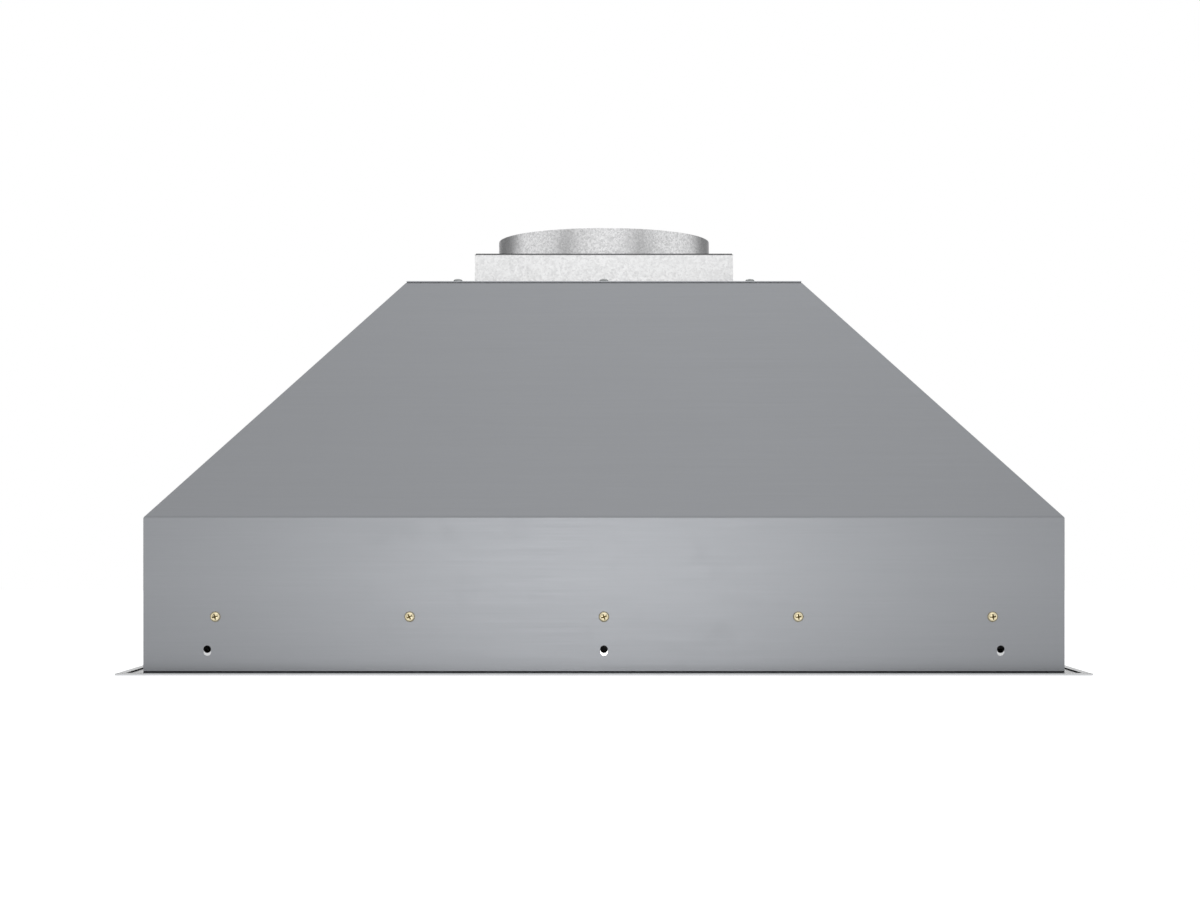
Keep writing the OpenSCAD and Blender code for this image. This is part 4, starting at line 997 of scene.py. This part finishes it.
# Buttons and their plate
# Five turned metal caps stand through an oblong stainless plate. Small printed marks in front of
# them tell off, three speeds and lamp. Each cap is dished for the fingertip.
STRIP_Y = -176.9
SEAT_Z = 5
BUTTON_PITCH = 32
MARK_Y = STRIP_Y - 13
MARK_Z = 3.38
TURNING_LINES = 22000
CAP_OUTLINE = [
    (0, -2.1), (3.0, -2.14), (5.6, -2.26), (7.2, -2.45), (7.7, -2.58), (8.2, -2.6), (8.7, -2.45),
    (8.95, -2.1), (9.0, -1.7), (9.0, 1.1), (10.5, 1.1), (10.5, 2.1), (2.2, 2.1), (2.2, 3.9), (0, 3.9),
]
plate_metal = brushed_metal("button plate", (0.4, 0.405, 0.41), (0.5, 0.505, 0.51), 0.32, GRAIN_WIDE)
finish_node(["button_bezel"], plate_metal)
cap_metal, tree, shader = blank_material("turned button metal", 1, 0.24)
spot = parts_of(tree, mapped_place(tree))
pitches = math_node(tree, "ADD", math_node(tree, "DIVIDE", spot["X"], BUTTON_PITCH / 1000), 0.5)
within_pitch = math_node(tree, "SUBTRACT", math_node(tree, "FRACT", pitches), 0.5)
from_axis_x = math_node(tree, "MULTIPLY", within_pitch, BUTTON_PITCH / 1000)
from_axis_y = math_node(tree, "SUBTRACT", spot["Y"], STRIP_Y / 1000)
square_x = math_node(tree, "MULTIPLY", from_axis_x, from_axis_x)
square_y = math_node(tree, "MULTIPLY", from_axis_y, from_axis_y)
from_axis = math_node(tree, "SQRT", math_node(tree, "ADD", square_x, square_y))
turning = math_node(tree, "SINE", math_node(tree, "MULTIPLY", from_axis, TURNING_LINES))
rubbed = noise(tree, mapped_place(tree), 240, 3, 0.6)
ringed = mix_colour(tree, remap(tree, turning, -1, 1, 0.2, 0.8), (0.5, 0.505, 0.51), (0.62, 0.625, 0.63))
worn = mix_colour(tree, remap(tree, rubbed, 0.4, 0.7, 0, 0.08), ringed, (0.42, 0.42, 0.42))
dress(tree, shader, worn, remap(tree, rubbed, 0.3, 0.7, 0.24, 0.3), turning, 0.000004)


def at_button(number, y, z):
    return Matrix.Translation(((number - 2) * BUTTON_PITCH / 1000, y / 1000, z / 1000))


cap = turned("cap_pattern", CAP_OUTLINE, 48)
soften(cap, 40)
for number in range(5):
    cap_copy = copies(cap, f"button_cap_{number + 1}", [at_button(number, STRIP_Y, SEAT_Z)])
    button = f"button_{number + 1}"
    finish_piece(cap_copy, cap_metal, button, "button_steel", button)
bpy.data.objects.remove(cap)

mark_ink, tree, shader = blank_material("printed grey ink", 0, 0.55)
ink_wear = noise(tree, mapped_place(tree), 1500, 3, 0.6)
inked = mix_colour(tree, ink_wear, (0.012, 0.012, 0.013), (0.045, 0.045, 0.047))
tree.links.new(inked, shader.inputs["Base Color"])
tree.links.new(remap(tree, ink_wear, 0.3, 0.7, 0.5, 0.65), shader.inputs["Roughness"])
marks = []
for number, mark in enumerate(("0", "1", "2", "3")):
    bpy.ops.object.text_add(location=(0, 0, 0))
    text = bpy.context.object
    text.data.body = mark
    text.data.size = 0.0042
    text.data.align_x = "CENTER"
    text.data.align_y = "CENTER"
    text.data.extrude = 0.00004
    bpy.ops.object.convert(target="MESH")
    text.data.transform(at_button(number, MARK_Y, MARK_Z) @ Matrix.Rotation(math.pi, 4, "X"))
    marks.append(text)
lamp_ring = [(0.9, -0.02), (1.3, -0.02), (1.3, 0.03), (0.9, 0.03), (0.9, -0.02)]
lamp_mark = turned("lamp_mark", lamp_ring, 24)
lamp_place = at_button(4, MARK_Y, MARK_Z)
lamp_mark.data.transform(lamp_place)
marks.append(lamp_mark)
for i in range(8):
    turn = 2 * math.pi * i / 8
    beam = tab("lamp_beam", (1.7, -0.14, -0.02), (2.5, 0.14, 0.03))
    beam.data.transform(lamp_place @ Matrix.Rotation(turn, 4, "Z"))
    marks.append(beam)
finish_piece(joined("printed_marks", marks), mark_ink, "hood", "black_plastic")

# Switch housing and board
# A black moulded housing behind the strip holds the board on a step inside it. The board is green
# glass fibre with tinned tracks and five small switches.


def moulded(name, dark, light, rough):
    material, tree, shader = blank_material(name, 0, rough)
    place = mapped_place(tree)
    pores = noise(tree, place, 2200, 3, 0.6)
    flow = noise(tree, place, 30, 3)
    gloss = remap(tree, pores, 0.3, 0.7, rough - 0.06, rough + 0.08)
    dress(tree, shader, mix_colour(tree, flow, dark, light), gloss, pores, 0.00003)
    return material


finish_node(["switch_housing"], moulded("black moulding", (0.014, 0.014, 0.015), (0.024, 0.024, 0.026), 0.5))
board_resin, tree, shader = blank_material("green board", 0, 0.35)
place = mapped_place(tree)
tracks = tree.nodes.new("ShaderNodeTexBrick")
tracks.inputs["Scale"].default_value = 160
tracks.inputs["Mortar Size"].default_value = 0.08
tracks.inputs["Mortar Smooth"].default_value = 0.1
tracks.offset = 0.37
tree.links.new(place, tracks.inputs["Vector"])
resin = mix_colour(tree, noise(tree, place, 60, 3), (0.005, 0.055, 0.02), (0.01, 0.08, 0.03))
track = tracks.outputs["Fac"]
tracked = mix_colour(tree, track, resin, (0.04, 0.16, 0.06))
dress(tree, shader, tracked, remap(tree, track, 0, 1, 0.4, 0.25), track, 0.00004)
finish_node(["switch_board"], board_resin)

# Lamps
# Two flat round lamps snap into the strip. Each has a turned ring, a frosted glass dish, a white
# board with light emitting chips behind it, and a cast aluminium body with cooling fins.
LAMP_X = 230
RING_OUTLINE = [
    (27.8, -1.8), (33.0, -1.8), (33.9, -1.5), (34.7, -0.7), (35.0, 0.0), (29.8, 0.0), (29.8, 6.0),
    (27.8, 6.0), (27.8, -1.8),
]
GLASS_OUTLINE = [
    (0, -1.2), (22.0, -1.2), (25.4, -1.12), (27.2, -0.8), (27.74, -0.2), (27.74, 1.0), (26.6, 1.0),
    (26.4, 0.1), (25.6, -0.2), (22.0, -0.3), (0, -0.3),
]
BOARD_OUTLINE = [(0, 0.6), (25.6, 0.6), (25.8, 0.7), (25.8, 0.96), (0, 0.96)]
CHIP_COUNT = 12
OUTER_CHIP_REACH = 0.018
INNER_CHIP_REACH = 0.009
frosted, tree, shader = blank_material("frosted glass", 0, 0.4)
shader.inputs["Transmission Weight"].default_value = 0.45
etch = noise(tree, mapped_place(tree), 1800)
etched = mix_colour(tree, etch, (0.86, 0.87, 0.87), (0.93, 0.94, 0.94))
dress(tree, shader, etched, remap(tree, etch, 0.3, 0.7, 0.34, 0.48), etch, 0.00002)
ring_metal = brushed_metal(
    "satin nickel ring", (0.5, 0.5, 0.495), (0.56, 0.56, 0.555), 0.28, (400, 400, 400), 0.000002, 0.02
)
white_board = moulded("white lamp board", (0.78, 0.78, 0.76), (0.84, 0.84, 0.82), 0.5)
chip_gel = moulded("lamp chip gel", (0.75, 0.55, 0.12), (0.85, 0.66, 0.2), 0.3)
cast_alloy = plated_steel("cast aluminium", (0.42, 0.42, 0.43), (0.56, 0.56, 0.57), 0.42)
finish_node(["lamp_body_left", "lamp_body_right"], cast_alloy)
ring = turned("ring_pattern", RING_OUTLINE, 96)
soften(ring, 40)
glass = turned("glass_pattern", GLASS_OUTLINE, 72)
soften(glass, 40)
for side, way in (("left", -1), ("right", 1)):
    seat = Matrix.Translation((way * LAMP_X / 1000, STRIP_Y / 1000, SEAT_Z / 1000))
    ring_copy = copies(ring, f"turned_ring_{side}", [seat])
    finish_piece(ring_copy, ring_metal, "hood", "button_steel", f"lamp_bezel_{side}")
    glass_copy = copies(glass, f"glass_dish_{side}", [seat])
    finish_piece(glass_copy, frosted, "hood", "lamp_lens", f"lamp_lens_{side}")
    board = turned(f"lamp_board_{side}", BOARD_OUTLINE, 48)
    board.data.transform(seat)
    finish_piece(board, white_board, "hood", "pale_plastic")
    chips = []
    for i in range(CHIP_COUNT):
        turn = Matrix.Rotation(2 * math.pi * i / CHIP_COUNT, 4, "Z")
        reach = OUTER_CHIP_REACH if i % 2 else INNER_CHIP_REACH
        chip = bevelled(tab("chip", (-1.4, -1.4, 0.2), (1.4, 1.4, 0.6)), 0.12)
        chip.data.transform(seat @ turn @ Matrix.Translation((reach, 0, 0)))
        chips.append(chip)
    finish_piece(joined(f"lamp_chips_{side}", chips), chip_gel, "hood", "lamp_lens")
bpy.data.objects.remove(ring)
bpy.data.objects.remove(glass)

# Wiring box
# A galvanised box under the top plate holds the terminals and the motor's capacitor. A black
# rubber bushing in the top plate above it lets the supply cable in.
BUSHING_OUTLINE = [
    (5.0, -1.8), (6.6, -2.0), (7.9, -1.8), (7.95, -1.0), (7.95, 0.0), (9.7, 0.0), (10.0, 0.3), (9.9, 1.0),
    (9.2, 2.2), (8.2, 2.85), (7.0, 3.0), (5.6, 2.9), (5.1, 2.5), (5.0, 1.6), (5.0, -1.8),
]
BUSHING_PLACE = (0.1135, 0.126, 0.298)
terminal_plastic = moulded("pale terminal moulding", (0.66, 0.64, 0.56), (0.74, 0.72, 0.64), 0.45)
finish_node(["terminal_block"], terminal_plastic)
finish_node(["capacitor"], plated_steel("capacitor can", (0.6, 0.6, 0.61), (0.72, 0.72, 0.73), 0.3))
rubber = moulded("black rubber", (0.012, 0.012, 0.012), (0.022, 0.022, 0.022), 0.7)
bushing = turned("rubber_bushing", BUSHING_OUTLINE, 40)
bushing.data.transform(Matrix.Translation(BUSHING_PLACE))
soften(bushing, 40)
finish_piece(bushing, rubber, "hood", "bushing_rubber", "cable_bushing")
